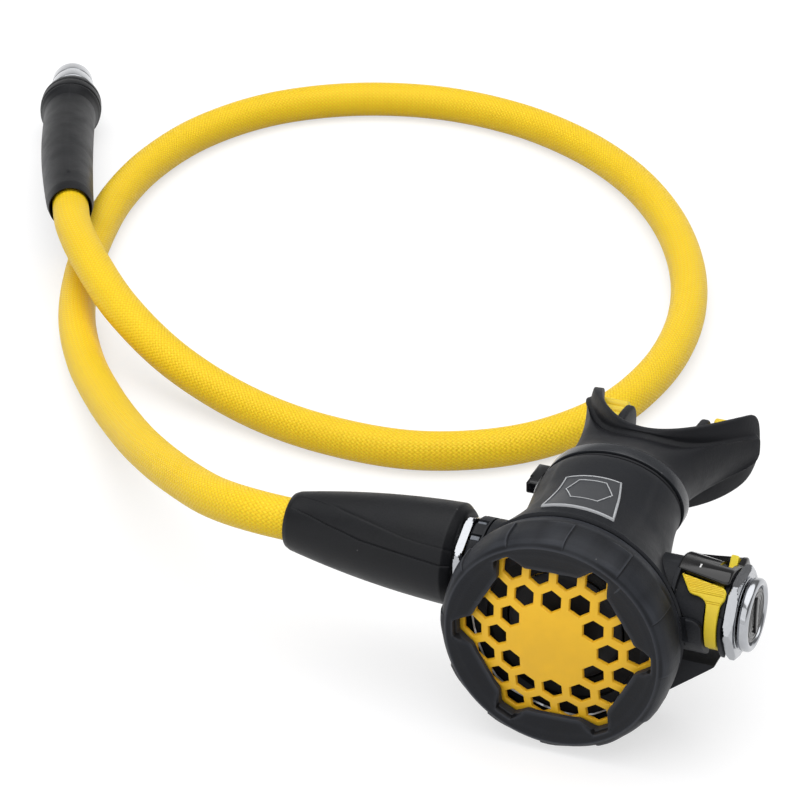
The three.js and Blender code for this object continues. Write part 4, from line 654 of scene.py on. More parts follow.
def plastic(name):
    """One of the moulded finishes: its colour, its roughness and what else sets it apart."""
    tones = colours()
    clean = {"wear_and_highlight": 0.0}
    shiny = {"depth": 0.000006, "dust": 0.05, "smear": 0.2, "specular": 0.5}
    yellow = {"depth": 0.00002, "wear_and_highlight": 0.3, "specular": 0.4}
    base, roughness, rest = {
        "case_plastic": (tones.case, 0.5, {"smear": 0.3}),
        # The ring's strong, narrow edge tone paints a light line along its edges: a painted highlight.
        "ring_plastic": (
            tones.ring, 0.5, {"wear_and_highlight": 0.5, "smear": 0.15, "wear_and_highlight_tone": srgb(74, 77, 84), "wear_and_highlight_width": 0.03}),
        "mouth_rubber": (tones.rubber, 0.55, {"grain": 1500.0, "dust": 0.16, "smear": 0.5, "wear_and_highlight": 0.5}),
        "sleeve_rubber": (tones.sleeve, 0.46, {"dust": 0.12, "smear": 0.2, "wear_and_highlight": 0.3}),
        "gloss_black": (tones.gloss, 0.16, {**shiny, "wear_and_highlight": 0.2}),
        "seal_rubber": (srgb(14, 14, 15), 0.4, {**clean, "dust": 0.05}),
        "cover_plastic": (
            tones.cover, 0.4, {**yellow, "dust": 0.03, "smear": 0.1, "wear_and_highlight": 0.25, "contrast": 0.04}),
        "lever_plastic": (tones.lever, 0.42, {**yellow, "dust": 0.04, "smear": 0.2, "contrast": 0.05}),
        "pad_silicone": (
            tones.pads, 0.38, {**yellow, "dust": 0.06, "smear": 0.3, "contrast": 0.06, "specular": 0.45}),
        "band_plastic": (srgb(40, 42, 46), 0.24, shiny),
        "slot_grey": (srgb(120, 124, 132), 0.35, clean),
        "white_mark": (srgb(225, 225, 225), 0.5, {**clean, "dust": 0.02}),
        "diaphragm_plastic": (srgb(44, 45, 49), 0.4, {}),
        "poppet_plastic": (srgb(218, 218, 212), 0.45, {**clean, "contrast": 0.03}),
    }[name]
    return moulded(name, base, roughness, **rest)


def chrome():
    return metal("chrome_plate", colours().chrome, 0.14, tarnish=0.1)


# ---- camera -------------------------------------------------------------------------------------------
CAMERA_PLACE = Vector((271.05, -759.43, 543.67))
CAMERA_FORWARD = Vector((-0.3334, 0.8106, -0.4815))
CAMERA_ROLL = math.radians(0.3)
CAMERA_LENS = 171
CAMERA_SENSOR = 36


def stand_camera():
    """The photograph's view: slightly from the dial side and from above."""
    forward = CAMERA_FORWARD.normalized()
    right = forward.cross(Vector((0, 0, 1))).normalized()
    up = right.cross(forward)
    side = right * math.cos(CAMERA_ROLL) - up * math.sin(CAMERA_ROLL)
    top = up * math.cos(CAMERA_ROLL) + right * math.sin(CAMERA_ROLL)
    data = bpy.data.cameras.new("camera")
    data.lens = CAMERA_LENS
    data.sensor_width = CAMERA_SENSOR
    data.clip_end = 100
    camera = bpy.data.objects.new("camera", data)
    turn = Matrix((side, top, -forward)).transposed().to_4x4()
    camera.matrix_world = Matrix.Translation(TO_ROW @ CAMERA_PLACE) @ turn
    bpy.context.scene.collection.objects.link(camera)
    bpy.context.scene.camera = camera


# ---- hose ---------------------------------------------------------------------------------------------
def smooth_route(points):
    """A centripetal curve through the points, as dense points."""
    per_span = 14
    dense = []
    count = len(points)
    for i in range(count - 1):
        before = points[i - 1] if i else points[0] * 2 - points[1]
        here, ahead = points[i], points[i + 1]
        after = points[i + 2] if i + 2 < count else points[-1] * 2 - points[-2]
        spans = ((before, here), (here, ahead), (ahead, after))
        steps = [max(1e-4, (b - a).length ** 0.5) for a, b in spans]
        leave = ((here - before) / steps[0] - (ahead - before) / (steps[0] + steps[1])
                 + (ahead - here) / steps[1]) * steps[1]
        arrive = ((ahead - here) / steps[1] - (after - here) / (steps[1] + steps[2])
                  + (after - ahead) / steps[2]) * steps[1]
        for k in range(per_span):
            t = k / per_span
            dense.append(
                here + leave * t + (here * -3 + ahead * 3 - leave * 2 - arrive) * t * t
                + (here * 2 - ahead * 2 + leave + arrive) * t ** 3)
    dense.append(points[-1].copy())
    return dense


def evenly(points, count):
    """Points at even distances along a chain, and its length."""
    reach = [0.0]
    for a, b in zip(points, points[1:]):
        reach.append(reach[-1] + (b - a).length)
    out = []
    k = 0
    for i in range(count + 1):
        want = reach[-1] * i / count
        while k < len(points) - 2 and reach[k + 1] < want:
            k += 1
        t = (want - reach[k]) / max(1e-9, reach[k + 1] - reach[k])
        out.append(points[k].lerp(points[k + 1], min(1.0, t)))
    return out, reach[-1]


def hose_frames(path):
    """A side and a top direction at each point, carried along without twist."""
    frames = []
    side = Vector((0, 0, 1))
    for i, here in enumerate(path):
        ahead = path[min(i + 1, len(path) - 1)] - path[max(i - 1, 0)]
        ahead.normalize()
        side = (side - ahead * side.dot(ahead)).normalized()
        frames.append((side.copy(), ahead.cross(side)))
    return frames


def hose_path():
    """The hose's middle line as even points, and its length."""
    points = [Vector(point) for point in HOSE_ROUTE]
    points += [on_outlet(Vector((0, reach, 0))) for reach in (0, 16, 32, 46, 60, HOSE_END)]
    return evenly(smooth_route(points), 420)


def hose_tube(path):
    """The hose's round skin, its ends closed."""
    radius = sizes().hose_diameter * 500
    around = 40
    frames = hose_frames(path)

    def place(i, k):
        angle = TAU * i / around
        side, top = frames[k]
        return path[k] + side * (radius * math.cos(angle)) + top * (radius * math.sin(angle))

    bm = skin(around, len(path) - 1, place)
    bmesh.ops.remove_doubles(bm, verts=bm.verts, dist=WELD)
    ends = [edge for edge in bm.edges if edge.is_boundary]
    bmesh.ops.holes_fill(bm, edges=ends, sides=0)
    return bm


# The sleeve's two creases as (x, degrees up from the front).
LOW_CREASE = (
    (-81, 58.5), (-79.5, 55.8), (-68.6, 37.1), (-58.3, 24.8), (-51.8, 22.0), (-45.4, 19.4), (-33, 14.8))
HIGH_CREASE = (
    (-81, 92.0), (-71.0, 73.5), (-64.4, 61.1), (-58.1, 52.3), (-52.1, 45.2), (-46.3, 39.1), (-40.8, 36.4),
    (-33, 34.6))


def along_line(line, x):
    """The second value of a chain of pairs at a place of the first."""
    for (x0, a0), (x1, a1) in zip(line, line[1:]):
        if x <= x1:
            return a0 + (a1 - a0) * max(0.0, x - x0) / (x1 - x0)
    return line[-1][1]


# A crease's section: (degrees from it where the sleeve's radius is CREASE_RADIUS, share of the depth).
CREASE_RADIUS = 8
LOW_SECTION = (
    (-9, 0), (-5, 0), (-2.6, 0), (-1.5, 0.1), (-0.7, 0.75), (0, 1.15), (0.8, 1.1), (2, 0.95), (4, 0.8))
HIGH_SECTION = ((-5, 0.35), (-3, 0.35), (-1.6, 0.55), (0, 0.7), (1.5, 0.5), (3, 0.15), (5, 0), (8, 0))
CREASE_BETWEEN = 5  # mesh columns between the two creases
CREASE_REST = 74  # mesh columns round the rest of the sleeve


def crease_columns(x, radius):
    """The sleeve's mesh columns as (degrees, share of the crease depth): they follow both creases."""
    clear = max(SLEEVE_LEFT + 0.1, min(SLEEVE_RIGHT, x))
    low, high = along_line(LOW_CREASE, clear), along_line(HIGH_CREASE, clear)
    fade_low = smoothstep(-80.8, -74, x)
    fade_high = smoothstep(-73, -62, x)
    scale = CREASE_RADIUS / radius
    columns = [(low + step * scale, share * fade_low) for step, share in LOW_SECTION]
    first = columns[-1]
    last = high + HIGH_SECTION[0][0] * scale, HIGH_SECTION[0][1] * fade_low
    for step in range(1, CREASE_BETWEEN + 1):
        t = step / (CREASE_BETWEEN + 1)
        columns.append((first[0] + (last[0] - first[0]) * t, first[1] + (last[1] - first[1]) * t))
    columns += [
        (high + step * scale, share * (fade_high if step >= -1.6 else fade_low))
        for step, share in HIGH_SECTION]
    start, stop = columns[-1][0], columns[0][0] + 360
    columns += [
        (start + (stop - start) * (k + 1) / (CREASE_REST + 1), 0) for k in range(CREASE_REST)]
    return columns


def inlet_sleeve():
    """A bowed cone with two long creases that sweep round its front."""
    steps = 60
    outside = [(SLEEVE_LEFT, 6.9), (SLEEVE_LEFT, 7.3)]
    for i in range(steps + 1):
        t = i / steps
        x = SLEEVE_LEFT + 1.2 + (SLEEVE_LENGTH - 3.4) * t
        outside.append((x, 7.9 + 5.6 * t + 4.0 * t * (1 - t)))
    outside += [(SLEEVE_RIGHT, 11.7), (SLEEVE_RIGHT, 9.75)]
    inside = [(-39.9, 9.75), (-39.9, 7.6), (-60.25, 7.6), (-60.25, 6.05), (SLEEVE_LEFT + 8, 6.05)]
    profile = rounded(outside, 0.9, steps=4) + inside
    depth = sizes().crease_depth * 1000
    rows = [crease_columns(x, radius) for x, radius in profile]

    def place(i, k):
        k %= len(profile)
        x, radius = profile[k]
        degrees, share = rows[k][i % len(rows[k])]
        if radius > 7.6 and SLEEVE_LEFT < x < SLEEVE_RIGHT:
            radius -= depth * share
        return round_barrel(x, radius, math.radians(degrees))

    return skin(len(rows[0]), len(profile), place)


def on_outlet(point):
    """The free end bends a little to the hose side between its mouth and its flange."""
    lean = 0.7 + 1.3 * math.sin(math.pi * min(1.0, max(0.0, point.y / 105)))
    lean *= smoothstep(-30, 10, point.y)
    return ON_OUTLET @ point + OUTLET_LEAN * lean


def bent_outlet(bm):
    """Lays a piece turned about +Y on the bent free end."""
    for vert in bm.verts:
        vert.co = on_outlet(vert.co)
    return bm


def outlet_sleeve():
    """The long sleeve of the free end: a grooved flange and two faint mould lines."""
    body = [(2 + 84 * k / 24, 7.5 + 1.1 * math.sin(math.pi * min(1, k / 18) / 2)) for k in range(25)]
    profile = rounded([
        (10, 6.05), (-2.6, 6.6), (-2.6, 6.9), *body, (89, 9.4), (90.6, 10.1), (91.4, 10.1), (91.6, 9.3),
        (92.4, 9.3), (92.6, 10.25), (96.2, 10.3), (96.4, 9.5), (97.2, 9.5), (97.4, 10.2), (99.4, 10.1),
        (100.6, 9.7), (105.2, 8.5), (106, 7.8), (106, 6.75), (78.5, 6.75), (78.5, 7.6), (59.5, 7.6),
        (59.5, 6.05)], 0.35, closed=True)
    around = 120

    def place(i, k):
        along, radius = profile[k % len(profile)]
        angle = TAU * i / around
        if radius > 7.7 and along < 90:
            for line in (0.25, 0.75):
                away = ((angle / TAU - line + 0.5) % 1 - 0.5) * TAU * radius
                radius += 0.14 * math.exp(-(away / 0.35) ** 2)
        return on_outlet(Vector((radius * math.cos(angle), along, radius * math.sin(angle))))

    return skin(around, len(profile), place)


def fitting_profile():
    """Ferrule, round body, shoulder and the threaded tail."""
    tail = 131.0
    points = [
        (72.35, 2.0), (72.35, 6.05), (60, 6.05), (60, 7.25), (78, 7.25), (78, 6.0), (106.6, 6.0),
        (107.2, 7.4), (107.9, 7.9), (115.4, 7.4), (115.7, 7.1), (116.2, 7.1), (116.5, 7.3), (123.5, 6.8),
        (124.4, 6.2), (124.7, 5.3), (124.7, 3.85), (126.0, 3.85), (126.0, 4.6)]
    x = 126.2
    while x < 128.4:
        points += [(x, 4.75), (x + 0.35, 4.75), (x + 0.6, 4.35), (x + 0.75, 4.35)]
        x += 1.05
    points += [
        (128.6, 4.5), (128.9, 3.55), (129.9, 3.55), (129.9, 4.05), (130.6, 4.0), (tail, 3.65), (tail, 2.0)]
    return rounded(points, 0.12, closed=True, steps=2)


def ring_bead(middle, along, wire_radius, matrix, name, node):
    """A sealing ring of round section; without a matrix it lies on the free end."""
    section = [
        (along + wire_radius * math.cos(TAU * k / 16), middle + wire_radius * math.sin(TAU * k / 16))
        for k in range(16)]
    bm = spun(section, 64, closed=True)
    bm = moved(bm, matrix) if matrix else bent_outlet(bm)
    return finish_piece(bm, name, "seal_rubber", "case", node, sharp=60)


def build_hose():
    """The cord: hose, both sleeves, and the fitting with its seals at the far end."""
    path, reach = hose_path()
    cells = reach / (sizes().braid_pitch * 1000)
    hose = finish_piece(
        hose_tube(path), "braided_hose", braided("braided_yarn", cells), "case", "hose",
        sharp=60)
    inlet = finish_piece(
        inlet_sleeve(), "inlet_hose_sleeve", "sleeve_rubber", "case", "inlet_sleeve")
    outlet = finish_piece(
        outlet_sleeve(), "outlet_hose_sleeve", "sleeve_rubber", "case", "outlet_sleeve")
    fitting = finish_piece(
        bent_outlet(spun(fitting_profile(), 72, closed=True)), "threaded_fitting", chrome(), "case",
        "first_stage_fitting", sharp=28)
    face = ring_bead(4.4, 125.35, 0.5, None, "face_seal_ring", "fitting_face_o_ring")
    tip = ring_bead(4.0, 129.4, 0.45, None, "tip_seal_ring", "fitting_tip_o_ring")
    row_path = [TO_ROW @ point for point in path]
    [tuple(point) for point in row_path]


# ---- front ring ---------------------------------------------------------------------------------------
def cover_face(radius):
    """How far forward the purge cover's dome lies."""
    return -3.0 + 0.0075 * radius * radius


def star_corners():
    """The corners of the six-lobed window as (x, z)."""
    side = COVER_PITCH / math.sqrt(3)
    corners = []
    for lobe in range(6):
        angle = lobe * TAU / 6 + FACE_TURN
        c, s = math.cos(angle), math.sin(angle)
        for reach, aside in (
                (STAR_SHOULDER, -side), (STAR_TIP, -side / 2), (STAR_TIP, side / 2), (STAR_SHOULDER, side)):
            corners.append((reach * c - aside * s, reach * s + aside * c))
    return corners


def star_table():
    """(angle, radius) of the star window's rounded edge, by rising angle."""
    edge = []
    points = rounded(star_corners(), 0.5, closed=True, steps=3)
    for a, b in zip(points, points[1:] + points[:1]):
        for t in (0.0, 0.34, 0.67):
            x, z = a[0] + (b[0] - a[0]) * t, a[1] + (b[1] - a[1]) * t
            edge.append((math.atan2(z, x) % TAU, math.hypot(x, z)))
    return sorted(edge)


RING_FACE = -1.35  # the ring's flat face
RING_EDGE = 27.9  # where the face ends
PAD_HALF = 7.75  # degrees


def front_ring():
    """The screw ring: star window, wedge channels in its face and twelve grip pads on its rim."""
    table = star_table()
    pads = [math.radians(2.5 + 30 * k) for k in range(12)]
    angles = [angle for angle, _ in table]
    for pad in pads:
        for step in (-9.4, -8.9, -8.5, -8.1, -PAD_HALF, -7.4, -7.0, 7.0, 7.4, PAD_HALF, 8.1):
            angles.append((pad + math.radians(step)) % TAU)
    angles += [TAU * k / 120 for k in range(120)]
    angles = sorted(angles)
    kept = [angles[0]]
    for angle in angles[1:]:
        if angle - kept[-1] > 0.003:
            kept.append(angle)
    angles = kept

    def window(angle):
        before = table[-1][0] - TAU, table[-1][1]
        for a, r in table + [(table[0][0] + TAU, table[0][1])]:
            if a >= angle:
                t = (angle - before[0]) / max(1e-9, a - before[0])
                return before[1] + (r - before[1]) * t
            before = a, r
        return table[0][1]

    def channel(angle, radius):
        local = (angle - FACE_TURN + TAU / 12) % (TAU / 6) - TAU / 12
        aside = abs(radius * math.sin(local))
        beyond = smoothstep(24.9, 26.5, radius)
        return smoothstep(2.6 + 1.6 * beyond, 2.1 - 0.8 * beyond, aside) * (1 - beyond)

    def pad_height(angle, y):
        best = 0.0
        for pad in pads:
            away = (angle - pad + math.pi) % TAU - math.pi
            degrees = math.degrees(away)
            if abs(degrees) < 10:
                best = smoothstep(-PAD_HALF, -7.4, degrees) * smoothstep(PAD_HALF, -3.0, degrees)
        return best * smoothstep(-2.1, -1.5, y) * smoothstep(7.6, 7.2, y)

    outside = [
        (-2.6, 28.25), (-2.52, 28.4), (-2.2, 28.75), (-1.9, 29.05), (-1.6, 29.35), (-0.8, 29.85),
        (-0.2, 30.1), (0.4, 30.3), (1.6, 30.55), (3.0, 30.68), (5.0, 30.7), (6.8, 30.7), (7.1, 30.7),
        (7.4, 30.7), (7.7, 30.7), (8.6, 30.62), (9.2, 30.4), (11.2, 29.9), (11.55, 29.6),
        (RING_DEPTH, 29.4), (RING_DEPTH, RING_EDGE), (RING_DEPTH - 0.15, RING_BORE), (2.35, RING_BORE),
        (2.1, 27.2)]
    windows = [window(angle) for angle in angles]
    depth = sizes().channel_depth * 1000
    rise = sizes().pad_height * 1000
    rows = 10 + len(outside) + 1

    def place(i, k):
        angle = angles[i % len(angles)]
        edge = windows[i % len(angles)]
        inner = edge + 0.27
        under = cover_face(edge) - SLIDE_GAP
        dip = channel(angle, edge + 0.1)
        low = RING_FACE + (under - RING_FACE - 0.55) * dip
        if k == 0 or k == rows:
            y, radius = under, edge
        elif k == 1:
            y, radius = min(under - 0.1, low + 0.3), edge
        elif k == 2:
            y, radius = low + 0.08, edge + 0.07
        elif k == 3:
            y, radius = low, inner
        elif k <= 9:
            t = (k - 3) / 6
            radius = inner + (RING_EDGE - inner) * t
            fall = smoothstep(21.0, 28.4, radius)
            flat = RING_FACE - 1.15 * fall
            deep = low + (-1.75 - low) * smoothstep(0.1, 1.0, t)
            cut = channel(angle, radius)
            y = flat + (max(flat + depth * (1 - 0.35 * fall), deep) - flat) * cut
        elif k < 10 + len(outside):
            y, radius = outside[k - 10]
            if k < 12:
                y += depth * 0.3 * channel(angle, radius)
            radius += rise * pad_height(angle, y)
        else:
            radius = (27.2 + edge) / 2
            y = cover_face(radius) - SLIDE_GAP
        return Vector((radius * math.cos(angle), y, AXIS_Z + radius * math.sin(angle)))

    return skin(len(angles), rows, place)


# ---- purge cover --------------------------------------------------------------------------------------
def lattice():
    """(x, y, ring) of the honeycomb's cells out to ring four."""
    for row in range(-4, 5):
        for column in range(-4, 5):
            ring = max(abs(row), abs(column), abs(row + column))
            if ring <= 4:
                yield COVER_PITCH * (column + row / 2), COVER_PITCH * row * math.sqrt(3) / 2, ring


def purge_cover():
    """A domed honeycomb: open cells in the second and third ring, solid cells in the middle."""
    corner = COVER_PITCH / math.sqrt(3)
    wall = (COVER_PITCH - sizes().hole_width * 1000) / 2
    depth = sizes().hole_depth * 1000
    bm = bmesh.new()
    for x, y, ring in lattice():
        open_cell = ring in (2, 3)
        for height in (0.0, -depth):
            spot = Matrix.Translation((x, y, height))
            made = bmesh.ops.create_circle(bm, cap_ends=True, radius=corner, segments=6, matrix=spot)
            cell = set(made["verts"])
            face = next(face for face in made["verts"][0].link_faces if set(face.verts) == cell)
            if height:
                face.normal_flip()
            if not open_cell:
                bmesh.ops.poke(bm, faces=[face])
                continue
            if height:
                bmesh.ops.inset_individual(bm, faces=[face], thickness=wall, depth=0)
            else:
                chamfer = ((wall - 0.42, 0.0), (0.2, -0.05), (0.14, -0.18), (0.08, -depth + 0.23))
                for thickness, drop in chamfer:
                    bmesh.ops.inset_individual(bm, faces=[face], thickness=thickness, depth=drop)
            bmesh.ops.delete(bm, geom=[face], context="FACES")
    bmesh.ops.remove_doubles(bm, verts=bm.verts, dist=0.01)
    for vert in bm.verts:
        reach = math.hypot(vert.co.x, vert.co.y)
        if reach > COVER_RADIUS:
            vert.co.x *= COVER_RADIUS / reach
            vert.co.y *= COVER_RADIUS / reach
    bmesh.ops.remove_doubles(bm, verts=bm.verts, dist=0.01)
    bmesh.ops.dissolve_degenerate(bm, edges=bm.edges, dist=0.005)
    rim = [edge for edge in bm.edges if edge.is_boundary]
    bmesh.ops.bridge_loops(bm, edges=rim)
    turn = Matrix.Rotation(FACE_TURN, 4, "Z")
    for vert in bm.verts:
        flat = turn @ vert.co
        vert.co = Vector((flat.x, cover_face(math.hypot(flat.x, flat.y)) - flat.z, AXIS_Z + flat.y))
    bmesh.ops.recalc_face_normals(bm, faces=bm.faces)
    post = rounded([(-1.6, 0), (-1.6, 5), (7.63, 5), (7.63, 0)], 0.5)
    rim = rounded([(2.6, 25.9), (2.6, 26.85), (4.5, 26.85), (4.5, 25.9)], 0.2, closed=True)
    return joined(bm, moved(spun(post, 48), ON_RING), moved(spun(rim, 96, closed=True), ON_RING))


# ---- case ---------------------------------------------------------------------------------------------
def case_radius(y):
    """The case's radius at a depth: the bowl narrows to the neck."""
    return NECK_RADIUS + (BOWL_RADIUS - NECK_RADIUS) * math.exp(-max(0.0, y - BOWL_START) / 11)


def case_middle(y):
    """How far the middle of the case's section lies above the ring's."""
    y = min(y, NECK_END)
    return 0.0 if y <= BOWL_START else BOWL_RADIUS - case_radius(y) - 0.06 * (y - BOWL_START)


def oval(point):
    """The neck runs from the round bowl into a flat oval behind, a little to the hose side."""
    t = smoothstep(24, 46, point.y)
    centre = AXIS_Z + case_middle(NECK_END)
    flat = OVAL_Z + (point.z - centre) * 0.745
    return Vector((point.x * (1 + 0.045 * t) + OVAL_X * t, point.y, point.z + (flat - point.z) * t))


def ovalled(bm):
    for vert in bm.verts:
        vert.co = oval(vert.co)
    return bm


def stations(start, stop, count):
    """Places between two depths, closer together at the first."""
    return [start + (stop - start) * (i / count) ** 1.4 for i in range(count + 1)]


def raise_case(bm, crease=False):
    """Lifts each section of a turned case to its own middle, with a panel edge beside the badge."""
    for vert in bm.verts:
        y = vert.co.y
        if crease and y > BOWL_START:
            radius = math.hypot(vert.co.x, vert.co.z)
            if radius > case_radius(y) - 0.3 and vert.co.z > 0 and y < NECK_END - 0.2:
                half = 14.0 - 0.05 * (y - 17)
                out = 0.28 * smoothstep(half + 0.7, half - 0.7, abs(vert.co.x))
                out *= smoothstep(NECK_END - 0.4, NECK_END - 3, y)
                vert.co.x *= (radius + out) / radius
                vert.co.z *= (radius + out) / radius
        vert.co.z += case_middle(y)
    return ovalled(moved(bm, ON_RING))


def case_solid(grow):
    """The case's outside, filled and grown by a clearance, to cut neighbours with."""
    profile = [(6.8, 0), (6.8, 27.25 + grow), (11.95, 27.25 + grow), (11.95, 29.6 + grow)]
    profile += [(y, case_radius(y) + grow) for y in stations(BOWL_START, NECK_END, 16)]
    profile.append((NECK_END, 0))
    return raise_case(spun(profile, 72))


def ring_space():
    """The room that the front ring needs, to cut neighbours with."""
    return moved(rod(-4, RING_DEPTH + GAP, RING_RADIUS + GAP, steps=96), ON_RING)


PORT_TILT = math.radians(40)
PORT_Y = 24.5


def port_matrix():
    """Lays +Y along the exhaust port under the case."""
    z = AXIS_Z + case_middle(PORT_Y) - case_radius(PORT_Y)
    return turning((0, math.sin(PORT_TILT), -math.cos(PORT_TILT)), (0, PORT_Y, z))


def rod(start, stop, radius, rounding=0.0, steps=64):
    """A solid cylinder along +Y."""
    profile = [(start, 0), (start, radius), (stop, radius), (stop, 0)]
    return spun(rounded(profile, rounding) if rounding else profile, steps)


def case_body():
    """The case: bowl and rising neck with their bosses, bores and exhaust port."""
    outside = [(y, case_radius(y)) for y in stations(BOWL_START, NECK_END - 1.2, 34)]
    outside += [(NECK_END - 0.6, 17.75), (NECK_END - 0.15, 17.5), (NECK_END, 17.1)]
    outside.append((NECK_END, SPIGOT_RADIUS))
    inside = [
        (y, min(case_radius(y) - 2.2, 23.95)) for y in reversed(stations(BOWL_START + 1, 41, 14))]
    profile = [
        (6.828, 25.35), (6.828, 27.0), (7.1, 27.25), (11.95, 27.25), (11.95, 29.3), (12.1, 29.8),
        *outside, (SPIGOT_END - 0.4, SPIGOT_RADIUS), (SPIGOT_END, SPIGOT_RADIUS - 0.4),
        (SPIGOT_END, 13.4), (45.3, 13.4), *inside, (BOWL_START, 23.95), (10.328, 22.75), (10.328, 25.35)]
    body = raise_case(spun(profile, 144, closed=True), crease=True)
    steps = []
    for start in (-25.6, 18.1):
        steps.append(("UNION", moved(rod(start, start + 7.5, 11.2, 0.5), ON_BARREL)))
    steps.append(("UNION", moved(rod(-3.0, 2.1, 9.8, 0.3), port_matrix())))
    steps.append(("DIFFERENCE", moved(rod(-60, 60, BARREL_RADIUS + GAP), ON_BARREL)))
    steps.append(("DIFFERENCE", moved(rod(-14, 6, 6.6), port_matrix())))
    return cut_with(body, steps)


def badge_plate():
    """A tapered plate that follows the neck, with a thin raised border and a bare hexagon outline."""
    columns, rows = 150, 150
    front, rear = 15.9, 34.2

    def half(y):
        return 9.7 + (7.4 - 9.7) * (y - front) / (rear - front)

    def height(x, y):
        inside = min(y - front, rear - y, (half(y) - abs(x)) * 0.99)
        rim = smoothstep(0.0, 0.1, inside) * smoothstep(0.55, 0.45, inside)
        # The hexagon is wider than it is deep and has its points at the sides.
        dx, dy = abs(x - 0.25) / 6.4, abs(y - 26.4) / 5.4
        reach = max(dy, dx + 0.42 * dy) - 1
        line = smoothstep(-0.085, -0.065, reach) * smoothstep(0.0, -0.02, reach)
        return 0.22 * max(rim, line)

    def top(u, v):
        y = front + (rear - front) * v
        x = half(y) * (2 * u - 1)
        radius = case_radius(y) + 0.75 + height(x, y)
        # The rear edge lies a little to the hose side and falls off that way.
        x, y = x - 1.3 * v * (0.5 + u / 2) - 0.6 * v * (1 - u), y - 0.9 * v * (1 - u)
        spot = Vector((x, y, AXIS_Z + case_middle(y) + math.sqrt(radius * radius - x * x)))
        return oval(spot)

    bm = skin(columns, rows, lambda i, k: top(i / columns, k / rows))
    rim = [edge for edge in bm.edges if edge.is_boundary]
    out = bmesh.ops.extrude_edge_only(bm, edges=rim)
    low = [item for item in out["geom"] if isinstance(item, bmesh.types.BMVert)]
    bmesh.ops.translate(bm, vec=(0, 0, -0.55), verts=low)
    sides = [item for item in out["geom"] if isinstance(item, bmesh.types.BMEdge)]
    bmesh.ops.contextual_create(bm, geom=[edge for edge in sides if edge.is_boundary])
    return bm


def badge_plastic():
    """Grey panel whose raised lines and edges take a bright tone from the mesh's curvature."""
    if "badge_plastic" in MATERIALS:
        return MATERIALS["badge_plastic"]
    material, tree, shader = blank_material("badge_plastic")
    place = tree.nodes.new("ShaderNodeTexCoord").outputs["Object"]
    grain_node = group_node(tree, "grain", Vector=place, Scale=2600.0)
    edge_node = group_node(tree, "edge", Width=0.03)
    base = srgb(52, 54, 58)
    shade = mixed(tree, grain_node.outputs["Mottle"], tuple(v * 0.85 for v in base), base)
    # Convex edges and the raised lines are coloured bright.
    shade = mixed(tree, edge_node.outputs["Edges"], shade, srgb(190, 192, 195))
    wire(tree, shade, shader.inputs["Base Color"])
    rough = maths(tree, "MULTIPLY_ADD", grain_node.outputs["Mottle"], 0.1, 0.38)
    wire(tree, rough, shader.inputs["Roughness"])
    bump(tree, shader, grain_node.outputs["Height"], 0.00003)
    MATERIALS["badge_plastic"] = material
    return material


# ---- exhaust tee --------------------------------------------------------------------------------------
def tee_outline(inset):
    """The tee's front outline as (x, z), moved in by an inset."""
    low, tip, drop = inset, 38.4 - inset, inset * 1.2
    right = [
        (12.5, low), (tip - 2.4, 17.2 + drop), (tip, 23.2 - inset), (27, 23.2 - inset), (20, 22.2 - inset)]
    return [(-x, z) for x, z in reversed(right)] + right


def upright(outline, front, rear, rounding=0.0):
    """A plate in X and Z between two Y planes."""
    bm = plate(outline, rear - front, rounding)
    turn = Matrix.Rotation(math.radians(90), 4, "X")
    return moved(bm, Matrix.Translation((0, rear, 0)) @ turn)


def exhaust_tee():
    """The hollow tee under the case, open at the back of both wings."""
    body = upright(rounded(tee_outline(0), 1.6, closed=True, steps=4), 17.2, 32, 1.1)
    hollow = upright(rounded(tee_outline(1.8), 1.0, closed=True), 19.8, 30.2)
    steps = [("DIFFERENCE", hollow)]
    for side in (-1, 1):
        x0, x1 = sorted((side * 22, side * 35))
        steps.append(("DIFFERENCE", block((x0, 28, 15.2), (x1, 36, 21.4), 0.6)))
    steps += [
        ("DIFFERENCE", case_solid(GAP)),
        ("DIFFERENCE", moved(rod(-8, 2.45, 10.15), port_matrix())),
        ("DIFFERENCE", moved(rod(0, 5.8, 8.95), port_matrix())),
        ("DIFFERENCE", ring_space()),
        ("DIFFERENCE", moved(rod(-60, 60, HOUSING_RADIUS + SLIDE_GAP), ON_BARREL)),
    ]
    return cut_with(body, steps)


def exhaust_valve():
    """The soft mushroom valve in the exhaust port."""
    profile = rounded(
        [(2.45, 0), (2.45, 8.55), (2.7, 8.6), (3.25, 7.6), (3.25, 1.3), (4.25, 1.0), (4.25, 0)], 0.25)
    return moved(spun(profile, 72), port_matrix())


# ---- mouthpiece ---------------------------------------------------------------------------------------
MOUTH_Z = AXIS_Z + case_middle(NECK_END)
ON_MOUTH = Matrix.Translation((0, 0, MOUTH_Z))
FLANGE_PLAN = (
    (-21.8, 97.0), (-21.1, 91.5), (-19.0, 86.3), (-15.8, 81.0), (-12.2, 76.8), (-8.2, 73.7), (-3.2, 72.0),
    (1.5, 72.2), (6.0, 73.9), (10.2, 76.6), (14.3, 80.1), (18.2, 84.3), (21.2, 88.6), (22.6, 93.5))


# Places along the flange's plan line, from the hose side to the dial side.
FLANGE_LINE, _ = evenly(smooth_route([Vector((x, y, 0)) for x, y in FLANGE_PLAN]), 80)


